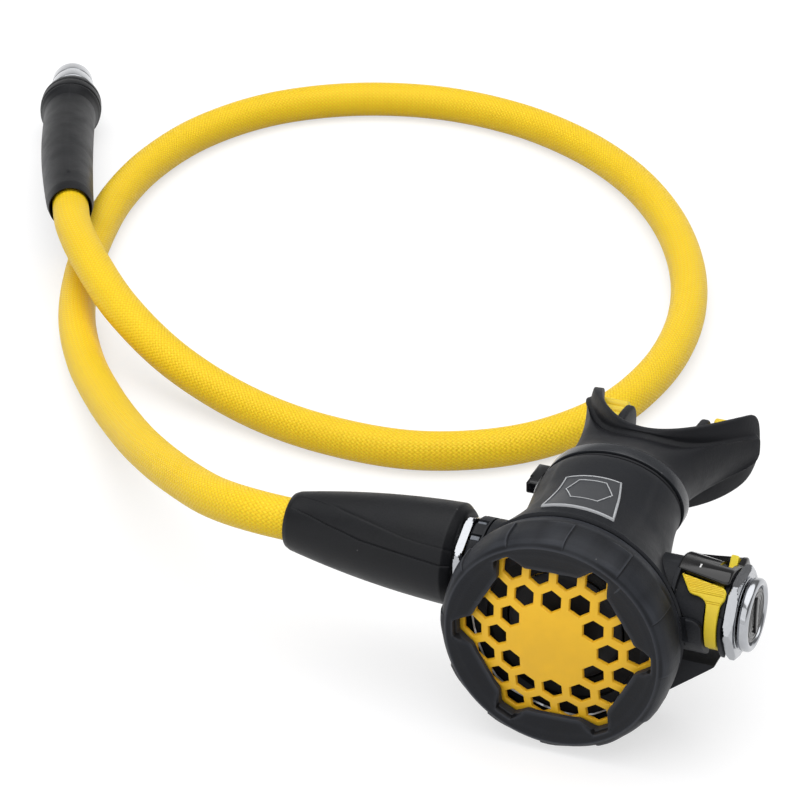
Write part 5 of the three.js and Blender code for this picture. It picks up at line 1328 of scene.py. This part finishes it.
def on_flange(along, height, lift=0.0):
    """A point on the flange's domed face: -1 to 1 along its curve, height, and distance outside it."""
    line = FLANGE_LINE
    place = (along + 1) / 2 * (len(line) - 1)
    k = min(len(line) - 2, max(0, int(place)))
    spot = line[k].lerp(line[k + 1], place - k)
    ahead = line[min(k + 2, len(line) - 1)] - line[max(k - 1, 0)]
    outward = Vector((ahead.y, -ahead.x, 0)).normalized()
    # The hose side's wing is the thicker one.
    if lift > -1.9:
        lift += (0.6 if lift > -0.3 else -1.2) * smoothstep(0.55, 0.95, -along)
    rise = height - FLANGE_Z
    share = rise / (FLANGE_UP if rise > 0 else FLANGE_DOWN)
    spot = spot + outward * (lift + FLANGE_BULGE * max(0.0, 1 - share * share))
    return Vector((spot.x, spot.y, height))


def flange_reach(c, s):
    """How far the flange's outline goes beyond an ellipse: its upper corners are the fuller ones."""
    power = 2.7 if s < 0 else 7 if c > 0 else 3.4
    return 1 / (abs(c) ** power + abs(s) ** power) ** (1 / power)


def flange_edge(psi, inset, out):
    """The flange's outline in the direction psi, moved in by an inset."""
    c, s = math.cos(psi), math.sin(psi)
    reach = flange_reach(c, s)
    rise = ((FLANGE_UP if s > 0 else FLANGE_DOWN) - inset) * reach * s
    return on_flange((1 - inset / FLANGE_HALF) * reach * c, FLANGE_Z + rise, out)


def flange_root(psi, grow, out):
    """Where the neck's raised band runs out on the flange: deep in the middle, narrow on the wings."""
    c, s = math.cos(psi), math.sin(psi)
    reach = 1 / (abs(c) ** 5 + abs(s) ** 5) ** (1 / 5)
    along = 0.93 * reach * c
    up = 4.2 + 3.4 * math.exp(-(along / 0.3) ** 2)
    down = 5.6 + 7.4 * math.exp(-(along / 0.33) ** 2)
    rise = ((up if s > 0 else down) + grow) * reach * s
    return on_flange(along + 0.03 * grow * c, FLANGE_Z + rise, out)


def mouth_middle(t, y):
    """The mouthpiece's middle line, from the collar (0) to the flange (1)."""
    return Vector((OVAL_X + 1.2 * t, y, OVAL_Z - 0.6 * t))


def mouthpiece():
    """Collar, flared neck, its raised band, the thin flange round it, and the way in to the case."""
    def round_at(radius, y):
        return lambda psi: oval(Vector((radius * math.cos(psi), y, MOUTH_Z + radius * math.sin(psi))))

    def neck(psi, t):
        start = round_at(17.75, 54.3)(psi)
        end = flange_root(psi, 0, 1.5)
        late = t ** (1.25 + 0.5 * math.cos(psi) ** 2)
        narrow = 1 - 0.1 * math.sin(math.pi * t ** 0.6)
        centre = start.lerp(end, t)
        middle = mouth_middle(t, centre.y)
        x = start.x + (end.x - start.x) * late
        z = start.z + (end.z - start.z) * late
        return middle + Vector((x - middle.x, 0, z - middle.z)) * narrow

    def inner(share):
        """The flange's inner face, from its rim (0) to the airway (1)."""
        def ring(psi):
            c, s = math.cos(psi), math.sin(psi)
            edge = flange_edge(psi, 0.5, 0)
            along = (1 - 0.5 / FLANGE_HALF) * flange_reach(c, s) * c
            along += (AIRWAY_WIDE * c / FLANGE_HALF - along) * share
            height = edge.z + (FLANGE_Z + AIRWAY_HIGH * s - edge.z) * share
            return on_flange(along, height, -1.0 - smoothstep(0.0, 0.2, share))
        return ring

    def airway(y):
        t = min(1.0, max(0.0, (y - SPIGOT_END) / (FLANGE_Y - SPIGOT_END)))
        return lambda psi: mouth_middle(t, y) + Vector(
            (AIRWAY_WIDE * math.cos(psi), 0, AIRWAY_HIGH * math.sin(psi)))

    rings = [round_at(r, y) for r, y in (
        (15.75, 47.85), (17.4, 47.85), (17.65, 47.95), (17.75, 48.2), (17.72, 48.4), (17.25, 48.45),
        (17.25, 53.15), (17.72, 53.2), (17.75, 53.4), (17.75, 54.0))]
    for k in range(1, 27):
        rings.append(lambda psi, t=k / 26: neck(psi, t))
    # The band's edge, the crease beside it, the flange beyond and its thin rim.
    for grow, out in ((0.25, 1.3), (0.5, 0.75), (0.7, 0.35), (0.95, 0.25)):
        rings.append(lambda psi, grow=grow, out=out: flange_root(psi, grow, out))
    for share in (0.25, 0.5, 0.75, 0.92):
        rings.append(lambda psi, share=share: flange_root(psi, 0.95, 0.25).lerp(
            flange_edge(psi, 0.4, 0.12), share) + Vector((0, -0.25 * math.sin(math.pi * share), 0)))
    for inset, out in ((0.4, 0.12), (0.12, 0.0), (0.0, -0.2), (0.0, -0.6), (0.15, -0.85)):
        rings.append(lambda psi, inset=inset, out=out: flange_edge(psi, inset, out))
    rings += [inner(k / 14) for k in range(15)]
    rings += [airway(y) for y in (69.5, 66, 62, 58, 55, 53.95)]
    rings += [round_at(r, y) for r, y in ((15.2, 53.85), (15.75, 53.8), (15.75, 50.5))]
    around = 240

    def place(i, k):
        return rings[k % len(rings)](TAU * i / around - math.pi)

    bm = welded(skin(around, len(rings), place))
    return joined(bm, *[bite_lug(side) for side in (-1, 1)])


def bite_lug(side):
    """An upright lug behind the teeth with the web that carries it."""
    corners = [
        (74.0, 45.2), (82, 41), (90, 40.5), (92.5, 44), (92.5, 48.4), (90.5, 51.2), (84, 51.8), (74.0, 50)]
    outline = rounded(corners, 1.8, closed=True, steps=4)
    bm = plate(outline, 2.4, 0.7)
    low = min(side * 9.4, side * 11.8) - 0.9
    moved(bm, side_on(low))
    parts = []
    for front in (79.0, 82.0):
        reach = inside_wing(front, side)
        x0, x1 = sorted((side * 10.0 - 0.9, reach))
        parts.append(block((x0, front, 45.6), (x1, front + 3.2, 47.9), 0.5))
    return joined(bm, *parts)


def inside_wing(y, side):
    """How far out the flange's inner face lies at a depth, at the height of the bite pads."""
    half = len(FLANGE_LINE) // 2
    spots = FLANGE_LINE[half:] if side > 0 else list(reversed(FLANGE_LINE[:half]))
    for spot in spots:
        if spot.y - 0.4 >= y:
            return spot.x - side * 0.3
    return spots[-1].x - side * 0.6


def bite_pad(side):
    """Rods side by side that the teeth bite on, joined by a thin web."""
    inner = side * 12.15 - 0.9
    bm = bmesh.new()
    turn = turning((side, 0, 0), (0, 0, 0))
    for i in range(4):
        y = 83.6 + 3.3 * i
        reach = abs(inside_wing(y - 1.7, side) - inner) - 0.6
        bar = spun(rounded([(0, 0), (0, 1.65), (reach, 1.65), (reach, 0)], 0.6), 28)
        moved(bar, Matrix.Translation((inner, y, 48.2)) @ turn)
        joined(bm, bar)
    x0, x1 = sorted((inner + side * 0.4, inner + side * 7))
    return joined(bm, block((x0, 83.6, 47.2), (x1, 93.4, 47.9), 0.25))


def mouth_tie():
    """Glossy band round the collar, its edges rounded."""
    inner, outer = 17.6, 18.5
    profile = rounded(
        [(TIE_Y, inner), (TIE_Y, outer), (TIE_Y + TIE_WIDTH, outer), (TIE_Y + TIE_WIDTH, inner)], 0.15,
        closed=True)
    return ovalled(moved(spun(profile, 144, closed=True), ON_MOUTH))


def tie_lock():
    """The tie's lock: a block with a step and a slot, lying forward along the neck."""
    lock = block((-23.4, 41.8, 47.4), (-19.2, 51.8, 51.0), 0.5)
    steps = [
        ("DIFFERENCE", block((-25.5, 40, 50.2), (-22.4, 45.2, 53), 0.2)),
        ("DIFFERENCE", case_solid(GAP)),
        ("DIFFERENCE", ovalled(moved(rod(47, 55.8, 18.6, steps=96), ON_MOUTH))),
    ]
    return cut_with(lock, steps)


# ---- dial side ----------------------------------------------------------------------------------------
def barrel_skin(rows, angles, radius_at):
    """A closed skin round the barrel: rows of (x, radius), changed by radius_at(x, radius, angle)."""
    def place(i, k):
        x, radius = rows[k % len(rows)]
        angle = angles[i % len(angles)]
        return round_barrel(x, radius_at(x, radius, angle), angle)

    return skin(len(angles), len(rows), place)


def sector(start, stop, x0, x1, radius):
    """A wedge round the barrel between two angles in degrees."""
    count = max(3, int((stop - start) / 6))
    angles = [math.radians(start + (stop - start) * i / count) for i in range(count + 1)]
    outline = [(0.0, 0.0)] + [(-radius * math.cos(a), radius * math.sin(a)) for a in angles]
    return moved(plate(outline, x1 - x0), side_on(x0, BARREL_Y, BARREL_Z))


def bent_plate(outline, inner, outer, rounding, corner, lines=()):
    """A plate drawn in (x, degrees) and bent round the barrel between two radii."""
    scale = outer * TAU / 360
    points = rounded([(x, degrees * scale) for x, degrees in outline], corner, closed=True, steps=5)
    bm = plate(points, outer - inner, rounding, both=False, segments=4)
    low = min(point[1] for point in points)
    high = max(point[1] for point in points)
    count = int((high - low) / (3 * scale))
    cuts = [low + (high - low) * (k + 0.5) / count for k in range(count)] + list(lines)
    for line in cuts:
        bmesh.ops.bisect_plane(
            bm, geom=bm.verts[:] + bm.edges[:] + bm.faces[:], dist=1e-5, plane_co=(0, line, 0),
            plane_no=(0, 1, 0))
    return bm, scale


def bend(bm, inner, scale, lift=None):
    """Bends a flat plate round the barrel, each corner raised by lift(x, along, height)."""
    for vert in bm.verts:
        x, s, height = vert.co
        if lift:
            height += lift(x, s, height)
        vert.co = round_barrel(x, inner + height, math.radians(s / scale))
    return bm


# Outlines bent round the barrel: (x, degrees up from the front).
HOOD = (
    (HOUSING_LEFT, 71.5), (27.2, 70.6), (38.3, 61.6), (HOUSING_RIGHT, 62.8), (HOUSING_RIGHT, 176),
    (33.5, 176), (29, 158), (HOUSING_LEFT, 150))
PANEL = ((26.4, -70), (34.9, -70), (34.9, 2.5), (34.0, 7.5), (32.4, 10.6), (26.4, 10.6))
LIP = ((39.05, -58), (39.85, -58), (39.85, 20), (39.05, 20))


def hood_rise(x, degrees):
    """The hood thins towards the nut on its top and ends in a raised block at its rear corner."""
    rear = smoothstep(122, 146, degrees)
    corner = 2.4 * rear * smoothstep(36.2, 38.4, x)
    return corner - 1.3 * (1 - rear) * smoothstep(27, 37.5, x) * smoothstep(74, 104, degrees)


def lever_housing():
    """The housing of the turning collar: two flanges on a sleeve."""
    profile = rounded([
        (HOUSING_LEFT, 8.55), (HOUSING_LEFT, HOUSING_RADIUS), (26.7, HOUSING_RADIUS), (26.7, COLLAR_RADIUS),
        (34.85, COLLAR_RADIUS), (34.85, 9.45), (38.8, 9.45), (38.8, COLLAR_RADIUS),
        (HOUSING_RIGHT, COLLAR_RADIUS), (HOUSING_RIGHT, 8.55)], 0.2, closed=True)
    housing = moved(spun(profile, 96, closed=True), ON_BARREL)
    return cut_with(housing, [("DIFFERENCE", case_solid(GAP)), ("DIFFERENCE", ring_space())])


def lever_hood():
    """The polished hood with the window for the lever's tab."""
    inner, outer = 11.05, 12.65
    hood, scale = bent_plate(HOOD, inner, outer, 0.75, 1.5)
    crown = outer - inner
    bend(hood, inner, scale, lambda x, s, height: height / crown * hood_rise(x, s / scale))
    window = sector(97, 145, 35.15, 38.35, 22)
    return cut_with(hood, [("DIFFERENCE", window), ("DIFFERENCE", case_solid(GAP))])


def lever_frame():
    """The black panel and lip beside the lever's stem, below the thumb piece's sweep."""
    left, scale = bent_plate(PANEL, 10.3, 12.0, 0.4, 0.6)
    bend(left, 10.3, scale)
    left = cut_with(left, [("DIFFERENCE", case_solid(GAP)), ("DIFFERENCE", ring_space())])
    right, scale = bent_plate(LIP, 10.65, 12.0, 0.25, 0.3)
    return joined(left, bend(right, 10.65, scale))


def hood_tick():
    """The short white mark on the hood."""
    def place(i, k):
        return round_barrel(
            31.0 + 0.4 * k / 2, 12.64 + 0.04 * math.sin(math.pi * k / 2), math.radians(78 + 6.5 * i / 8))

    bm = skin(8, 2, place)
    bmesh.ops.solidify(bm, geom=bm.faces[:], thickness=0.06)
    return bm


PADDLE = (
    (27.1, 67.5), (38.6, 58), (39.5, 55), (39.7, 50), (39.7, 43), (38.9, 36.5), (38.75, 24), (38.7, -26.5),
    (35.7, -26.5), (35.5, 24), (35.3, 34), (34.5, 38.8), (33, 42), (30.5, 43.5))


def barrel_hoop(x0, x1, inner, outer, rounding, steps):
    """A square-cut hoop round the barrel."""
    profile = [(x0, inner), (x0, outer), (x1, outer), (x1, inner)]
    if rounding:
        profile = rounded(profile, rounding, closed=True)
    return moved(spun(profile, steps, closed=True), ON_BARREL)


def airflow_lever():
    """Collar, ribbed thumb piece with its stem, and the small tab behind."""
    inner, outer = COLLAR_RADIUS + SLIDE_GAP, LEVER_RADIUS
    scale = outer * TAU / 360
    # Grooves lie close together on the thumb piece and on the stem's top.
    groove = sizes().groove_pitch * 1000
    valleys, lines = [], []
    line = 35.5 * scale
    while line < 66 * scale:
        if not 39.5 * scale < line < 45.0 * scale:
            valleys.append(line)
            lines += [line - 0.28 * groove, line, line + 0.28 * groove]
        line += groove
    bm, _ = bent_plate(PADDLE, inner, outer, 0.35, 0.9, lines)

    def cut(x, s, height):
        if height > outer - inner - 0.01 and any(abs(s - valley) < 1e-3 for valley in valleys):
            return -0.2
        return 0

    bend(bm, inner, scale, cut)
    collar = barrel_hoop(35.3, 38.3, 9.9, 10.55, 0.2, 96)
    stem = cut_with(
        barrel_hoop(35.7, 38.3, 10.2, 11.4, 0, 144), [("INTERSECT", sector(-26, 40, 30, 42, 24))])
    tab = cut_with(
        barrel_hoop(35.95, 37.95, 10.2, 13.9, 0.5, 144), [("INTERSECT", sector(128, 142, 30, 42, 24))])
    return joined(bm, collar, stem, tab)


def hexagon_nut(rows, corner, soft, turn, plain):
    """A nut round the barrel: radii beyond the plain one end at the hexagon."""
    def radius_at(x, radius, angle):
        return min(radius, hexagon_radius(corner, angle + turn, soft)) if radius > plain else radius

    return barrel_skin(rows, [TAU * i / 216 for i in range(216)], radius_at)


def barrel_nut():
    """Chrome hexagon with turned faces."""
    rows = [
        (40.25, 4.65), (40.25, 10.8), (40.3, 11.4), (40.55, 11.75), (40.8, 12.1), (41.0, 12.3),
        (42.0, 12.3), (42.15, 12.2), (42.35, 11.9), (42.6, 11.5), (42.8, 11.1), (42.85, 10.7),
        (42.85, 10.2), (42.7, 10.0), (42.7, 9.4), (42.85, 9.2), (42.85, 4.65)]
    return hexagon_nut(rows, 12.3, 0.06, 0, 10.6)


def adjuster_dial():
    """Knob with a rounded rim and a recessed face."""
    profile = [
        (32.15, 0.0), (32.15, 3.9), (32.5, 4.2), (43.3, 4.2), (43.3, 8.9), (43.45, 9.2), (43.8, 9.42),
        (44.2, 9.5), (44.9, 9.5), (45.3, 9.45), (45.6, 9.3), (45.85, 9.0), (46.0, 8.55), (46.0, 8.15),
        (45.9, 7.9), (45.6, 7.65), (44.5, 7.4), (44.5, 0.0)]
    return moved(spun(profile, 144), ON_BARREL)


def dial_face():
    """Dark disc with a raised grip bar and rings of fine ribs."""
    profile = [(44.85, 0), (44.85, 6.9), (45.0, 7.05), (45.3, 7.05), (45.45, 6.9)]
    radius = 6.6
    while radius > 2.2:
        profile += [(45.45, radius), (45.3, radius - 0.2), (45.3, radius - 0.45), (45.45, radius - 0.65)]
        radius -= 1.1
    profile += [(45.45, 1.6), (45.45, 0)]
    disc = moved(spun(profile, 96), ON_BARREL)
    outline = rounded(
        [(-0.55, -5.2), (0.55, -5.2), (1.0, -1.8), (1.0, 1.8), (0.55, 5.2), (-0.55, 5.2), (-1.0, 1.8),
         (-1.0, -1.8)], 0.5, closed=True)
    bar = plate(outline, 1.05, 0.22)
    return joined(disc, moved(bar, side_on(44.85, BARREL_Y, BARREL_Z)))


# ---- inlet side ---------------------------------------------------------------------------------------
def inlet_collar():
    """Slotted collar between the case and the swivel nut."""
    rows = [(-29.75, 7.15), (-29.75, 10.2), (-29.7, 10.5), (-29.4, 10.95), (-29.05, 11.2)]
    rows += [(-28.4, 11.2), (-27.6, 11.2), (-26.9, 11.2), (-26.6, 11.2), (-26.4, 11.2), (-24.4, 11.2)]
    rows += [(-24.4, 8.55), (-25.95, 8.55), (-25.95, 7.15)]
    angles = []
    for k in range(12):
        for step in (-15, -12, -9, -6, -5.2, -4.7, -4.2, -2, 0, 2, 4.2, 4.7, 5.2, 6, 9, 12):
            angles.append(math.radians(30 * k + step))

    def radius_at(x, radius, angle):
        away = abs((math.degrees(angle) + 15) % 30 - 15)
        if radius > 10 and x < -26.5:
            radius -= 0.85 * smoothstep(5.2, 4.3, away)
        return radius

    collar = welded(barrel_skin(rows, angles, radius_at))
    boss = moved(rod(-25.95, 0, 11.55), ON_BARREL)
    return cut_with(
        collar, [("DIFFERENCE", case_solid(GAP)), ("DIFFERENCE", boss), ("DIFFERENCE", ring_space())])


def slot_marks():
    """Pale bars of the inner sleeve that show in the collar's slots."""
    marks = bmesh.new()
    for k in range(12):
        mark = block((-29.3, -0.62, 10.3), (-27.0, 0.62, 10.75), 0.12)
        turn = Matrix.Rotation(math.radians(30 * k), 4, "X")
        joined(marks, moved(mark, Matrix.Translation((0, BARREL_Y, BARREL_Z)) @ turn))
    return marks


def swivel_nut():
    """Thin hexagon nut with a round body behind it."""
    rows = [
        (-39.4, 4.95), (-39.4, 9.0), (-39.1, 9.3), (-32.5, 9.3), (-32.3, 9.6), (-32.3, 10.9),
        (-32.2, 11.2), (-31.9, 11.6), (-31.6, 11.8), (-30.9, 11.8), (-30.6, 11.55), (-30.3, 11.15),
        (-30.2, 10.9), (-30.2, 7.25), (-34.6, 7.25), (-34.6, 4.95)]
    return hexagon_nut(rows, 11.8, 0.05, TAU / 12, 10.2)


# ---- soft inner pieces --------------------------------------------------------------------------------
def diaphragm_skirt():
    """The soft folded rim of the diaphragm."""
    profile = rounded([
        (8.478, 20.4), (8.478, 25.0), (9.978, 25.0), (9.978, 20.4), (9.78, 18.0), (9.278, 15.65),
        (8.478, 15.65), (8.978, 18.0)], 0.4, closed=True)
    return moved(spun(profile, 96, closed=True), ON_RING)


def diaphragm_plate():
    """The stiff disc in the diaphragm's middle."""
    profile = [
        (8.078, 0), (8.078, 3.0), (8.25, 3.3), (8.25, 5.2), (8.078, 5.5), (8.078, 13.8), (8.15, 14.2),
        (8.5, 15.1), (8.6, 15.2), (8.9, 15.2), (8.978, 15.1), (8.978, 0)]
    return moved(spun(profile, 96), ON_RING)


def poppet_seat():
    """The soft disc that closes the orifice."""
    return moved(rod(-17.05, -15.45, 4.0, 0.25, 48), ON_BARREL)


def finish_inner_metal():
    """Gives the CAD pieces that stay as they are their finishes."""
    brass = metal("turned_brass", srgb(196, 160, 92), 0.28, stretch=(1, 0.1, 0.1))
    steel = metal("spring_wire", srgb(190, 193, 197), 0.3)
    finishes = (
        (brass, ("barrel_tube", "orifice_seat", "spring_seat")),
        (steel, ("purge_spring", "poppet_spring", "demand_lever")),
        (plastic("poppet_plastic"), ("poppet",)),
        (chrome(), ("hose_stem",)),
        (plastic("case_plastic"), ("diaphragm_clamp_ring",)),
    )
    for finish, nodes in finishes:
        for node in nodes:
            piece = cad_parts[node]
            if not piece.material_slots:
                piece.data.materials.append(finish)
            for slot in piece.material_slots:
                slot.material = finish


# ---- stage --------------------------------------------------------------------------------------------
FLOOR_COLOUR = (0.42, 0.42, 0.425, 1)
FLOOR_GLOW = 0.64  # what camera and gloss rays see on top of the lit floor


def camera_rays(tree):
    """One for rays from the camera, from gloss and through glass, nought for the others."""
    path = tree.nodes.new("ShaderNodeLightPath")
    seen = maths(tree, "MAXIMUM", path.outputs["Is Camera Ray"], path.outputs["Is Glossy Ray"])
    return maths(tree, "MAXIMUM", seen, path.outputs["Is Transmission Ray"])


def build_floor():
    """The pale floor, which looks brighter than the light that it sends back."""
    bm = bmesh.new()
    bmesh.ops.create_circle(bm, cap_ends=True, radius=4.0, segments=96)
    mesh = bpy.data.meshes.new("floor")
    bm.to_mesh(mesh)
    bm.free()
    floor = bpy.data.objects.new("floor", mesh)
    bpy.context.scene.collection.objects.link(floor)
    material = bpy.data.materials.new("floor_paper")
    material.use_nodes = True
    tree = material.node_tree
    tree.nodes.clear()
    out = tree.nodes.new("ShaderNodeOutputMaterial")
    paper = tree.nodes.new("ShaderNodeBsdfDiffuse")
    paper.inputs["Color"].default_value = FLOOR_COLOUR
    glow = tree.nodes.new("ShaderNodeEmission")
    wire(tree, maths(tree, "MULTIPLY", camera_rays(tree), FLOOR_GLOW), glow.inputs["Strength"])
    both = tree.nodes.new("ShaderNodeAddShader")
    wire(tree, paper.outputs[0], both.inputs[0])
    wire(tree, glow.outputs[0], both.inputs[1])
    wire(tree, both.outputs[0], out.inputs["Surface"])
    mesh.materials.append(material)


def build_world():
    """A bright room for the metal to show."""
    world = bpy.data.worlds.new("studio")
    bpy.context.scene.world = world
    world.use_nodes = True
    tree = world.node_tree
    background = tree.nodes["Background"]
    background.inputs["Color"].default_value = (1, 1, 1, 1)
    # White walls low down, a dimmer room above them.
    split = tree.nodes.new("ShaderNodeSeparateXYZ")
    wire(tree, tree.nodes.new("ShaderNodeTexCoord").outputs["Generated"], split.inputs[0])
    walls = ramp(tree, split.outputs[2], 0.1, 0.32, 1.0, 0.25)
    ceiling = ramp(tree, split.outputs[2], 0.6, 0.95, 0.0, 0.3)
    wire(tree, maths(tree, "ADD", walls, ceiling), background.inputs["Strength"])


def soft_light(name, place, aim, size, power):
    """A large rectangular lamp that shines at a point."""
    data = bpy.data.lights.new(name, "AREA")
    data.shape = "RECTANGLE"
    data.size, data.size_y = size
    data.energy = power
    lamp = bpy.data.objects.new(name, data)
    lamp.location = place
    lamp.rotation_euler = (Vector(aim) - Vector(place)).to_track_quat("-Z", "Y").to_euler()
    bpy.context.scene.collection.objects.link(lamp)


# ---- operators ----------------------------------------------------------------------------------------
class REGULATOR_OT_camera(bpy.types.Operator):
    """Stands the camera at the photograph's view"""
    bl_idname = "regulator.camera"
    bl_label = "Camera"

    def execute(self, context):
        stand_camera()
        return {"FINISHED"}


class REGULATOR_OT_hose(bpy.types.Operator):
    """Builds the braided hose, its two sleeves and the threaded fitting with its rings"""
    bl_idname = "regulator.hose"
    bl_label = "Hose and its ends"

    def execute(self, context):
        build_hose()
        return {"FINISHED"}


class REGULATOR_OT_ring(bpy.types.Operator):
    """Builds the front ring with its star window and grip pads"""
    bl_idname = "regulator.ring"
    bl_label = "Front ring"

    def execute(self, context):
        finish_piece(
            front_ring(), "star_front_ring", "ring_plastic", "case", "front_ring",
            sharp=38)
        return {"FINISHED"}


class REGULATOR_OT_cover(bpy.types.Operator):
    """Builds the honeycomb purge cover"""
    bl_idname = "regulator.cover"
    bl_label = "Purge cover"

    def execute(self, context):
        finish_piece(
            purge_cover(), "honeycomb_purge_cover", "cover_plastic", "purge", "purge_cover",
            sharp=35)
        return {"FINISHED"}


class REGULATOR_OT_case(bpy.types.Operator):
    """Builds the case and the badge plate on its neck"""
    bl_idname = "regulator.case"
    bl_label = "Case and badge plate"

    def execute(self, context):
        finish_piece(case_body(), "case_shell", "case_plastic", "case", "case_body")
        finish_piece(
            badge_plate(), "neck_badge_plate", badge_plastic(), "case", "badge_plate")
        return {"FINISHED"}


class REGULATOR_OT_exhaust(bpy.types.Operator):
    """Builds the exhaust tee and the valve in it"""
    bl_idname = "regulator.exhaust"
    bl_label = "Exhaust tee and valve"

    def execute(self, context):
        finish_piece(
            exhaust_tee(), "exhaust_tee_shell", "case_plastic", "case", "exhaust_tee")
        finish_piece(
            exhaust_valve(), "exhaust_valve_disc", "seal_rubber", "exhaust", "exhaust_valve")
        return {"FINISHED"}


class REGULATOR_OT_mouthpiece(bpy.types.Operator):
    """Builds the mouthpiece with its bite pads, tie and tie lock"""
    bl_idname = "regulator.mouthpiece"
    bl_label = "Mouthpiece and tie"

    def execute(self, context):
        finish_piece(
            mouthpiece(), "silicone_mouthpiece", "mouth_rubber", "case", "mouthpiece",
            sharp=50)
        for side, word in ((-1, "left"), (1, "right")):
            finish_piece(
                bite_pad(side), "bite_rods_" + word, "pad_silicone", "case", "bite_pad_" + word,
                sharp=50)
        finish_piece(
            mouth_tie(), "mouthpiece_band", "band_plastic", "case", "mouthpiece_tie")
        finish_piece(tie_lock(), "band_lock", "gloss_black", "case", "tie_head")
        return {"FINISHED"}


class REGULATOR_OT_dial_side(bpy.types.Operator):
    """Builds the lever housing, airflow lever, barrel nut and dial"""
    bl_idname = "regulator.dial_side"
    bl_label = "Dial side"

    def execute(self, context):
        finish_piece(
            lever_housing(), "lever_housing_body", "case_plastic", "case", "lever_housing")
        finish_piece(lever_hood(), "polished_hood", "gloss_black", "case", None)
        finish_piece(lever_frame(), "lever_slot_panel", "case_plastic", "case", None)
        finish_piece(hood_tick(), "hood_mark", "white_mark", "case", None)
        finish_piece(
            airflow_lever(), "ribbed_airflow_lever", "lever_plastic", "airflow", "airflow_lever",
            sharp=25)
        finish_piece(
            barrel_nut(), "chrome_barrel_nut", chrome(), "case", "barrel_nut", sharp=14)
        finish_piece(
            adjuster_dial(), "chrome_dial", chrome(), "dial", "adjuster_dial", sharp=40)
        finish_piece(dial_face(), "dial_grip_face", "gloss_black", "dial", "dial_face")
        return {"FINISHED"}


class REGULATOR_OT_inlet_side(bpy.types.Operator):
    """Builds the slotted collar and the swivel nut"""
    bl_idname = "regulator.inlet_side"
    bl_label = "Inlet side"

    def execute(self, context):
        finish_piece(
            inlet_collar(), "slotted_inlet_collar", "case_plastic", "case", "inlet_collar")
        finish_piece(slot_marks(), "collar_slot_bars", "slot_grey", "case", None)
        finish_piece(
            swivel_nut(), "chrome_swivel_nut", chrome(), "swivel", "swivel_nut", sharp=14)
        return {"FINISHED"}


class REGULATOR_OT_inner(bpy.types.Operator):
    """Builds the soft inner pieces and finishes the CAD pieces inside the case"""
    bl_idname = "regulator.inner"
    bl_label = "Inner pieces"

    def execute(self, context):
        finish_piece(
            diaphragm_skirt(), "folded_skirt", "seal_rubber", "case", "diaphragm_skirt")
        finish_piece(
            diaphragm_plate(), "diaphragm_disc", "diaphragm_plastic", "diaphragm", "diaphragm_plate")
        finish_piece(
            poppet_seat(), "soft_poppet_seat", "seal_rubber", "poppet", "poppet_seat")
        ring_bead(5.2, -22.0, 0.55, ON_BARREL, "orifice_seal_ring", "orifice_o_ring")
        ring_bead(4.45, -29.35, 0.5, ON_BARREL, "stem_seal_ring", "stem_o_ring")
        finish_inner_metal()
        return {"FINISHED"}


class REGULATOR_OT_stage(bpy.types.Operator):
    """Lays the pale floor and hangs the soft studio lights"""
    bl_idname = "regulator.stage"
    bl_label = "Stage"

    def execute(self, context):
        build_floor()
        build_world()
        soft_light("overhead", (-0.05, 0.1, 1.5), (-0.08, 0.05, 0), (2.2, 2.2), 24)
        soft_light("front", (-0.35, -1.5, 0.85), (-0.05, 0, 0.03), (2.2, 1.1), 9.0)
        bpy.context.scene.view_settings.view_transform = "Standard"
        return {"FINISHED"}


STEPS = (
    REGULATOR_OT_camera, REGULATOR_OT_hose, REGULATOR_OT_ring, REGULATOR_OT_cover, REGULATOR_OT_case,
    REGULATOR_OT_exhaust, REGULATOR_OT_mouthpiece, REGULATOR_OT_dial_side, REGULATOR_OT_inlet_side,
    REGULATOR_OT_inner, REGULATOR_OT_stage,
)


class REGULATOR_PT_panel(bpy.types.Panel):
    """Lists the making of the regulator"""
    bl_idname = "REGULATOR_PT_panel"
    bl_label = "Regulator second stage"
    bl_space_type = "VIEW_3D"
    bl_region_type = "UI"
    bl_category = "Regulator"

    def draw(self, context):
        for step in STEPS:
            self.layout.operator(step.bl_idname)
        for group in (context.scene.regulator_sizes, context.scene.regulator_colours):
            box = self.layout.box()
            for name in group.__annotations__:
                box.prop(group, name)


CLASSES = (RegulatorSizes, RegulatorColours, *STEPS, REGULATOR_PT_panel)


def register():
    for item in CLASSES:
        bpy.utils.register_class(item)
    bpy.types.Scene.regulator_sizes = PointerProperty(type=RegulatorSizes)
    bpy.types.Scene.regulator_colours = PointerProperty(type=RegulatorColours)


def unregister():
    del bpy.types.Scene.regulator_colours
    del bpy.types.Scene.regulator_sizes
    for item in reversed(CLASSES):
        bpy.utils.unregister_class(item)


def main():
    register()
    for step in STEPS:
        family, name = step.bl_idname.split(".")
        getattr(getattr(bpy.ops, family), name)()


if __name__ == "__main__":
    main()
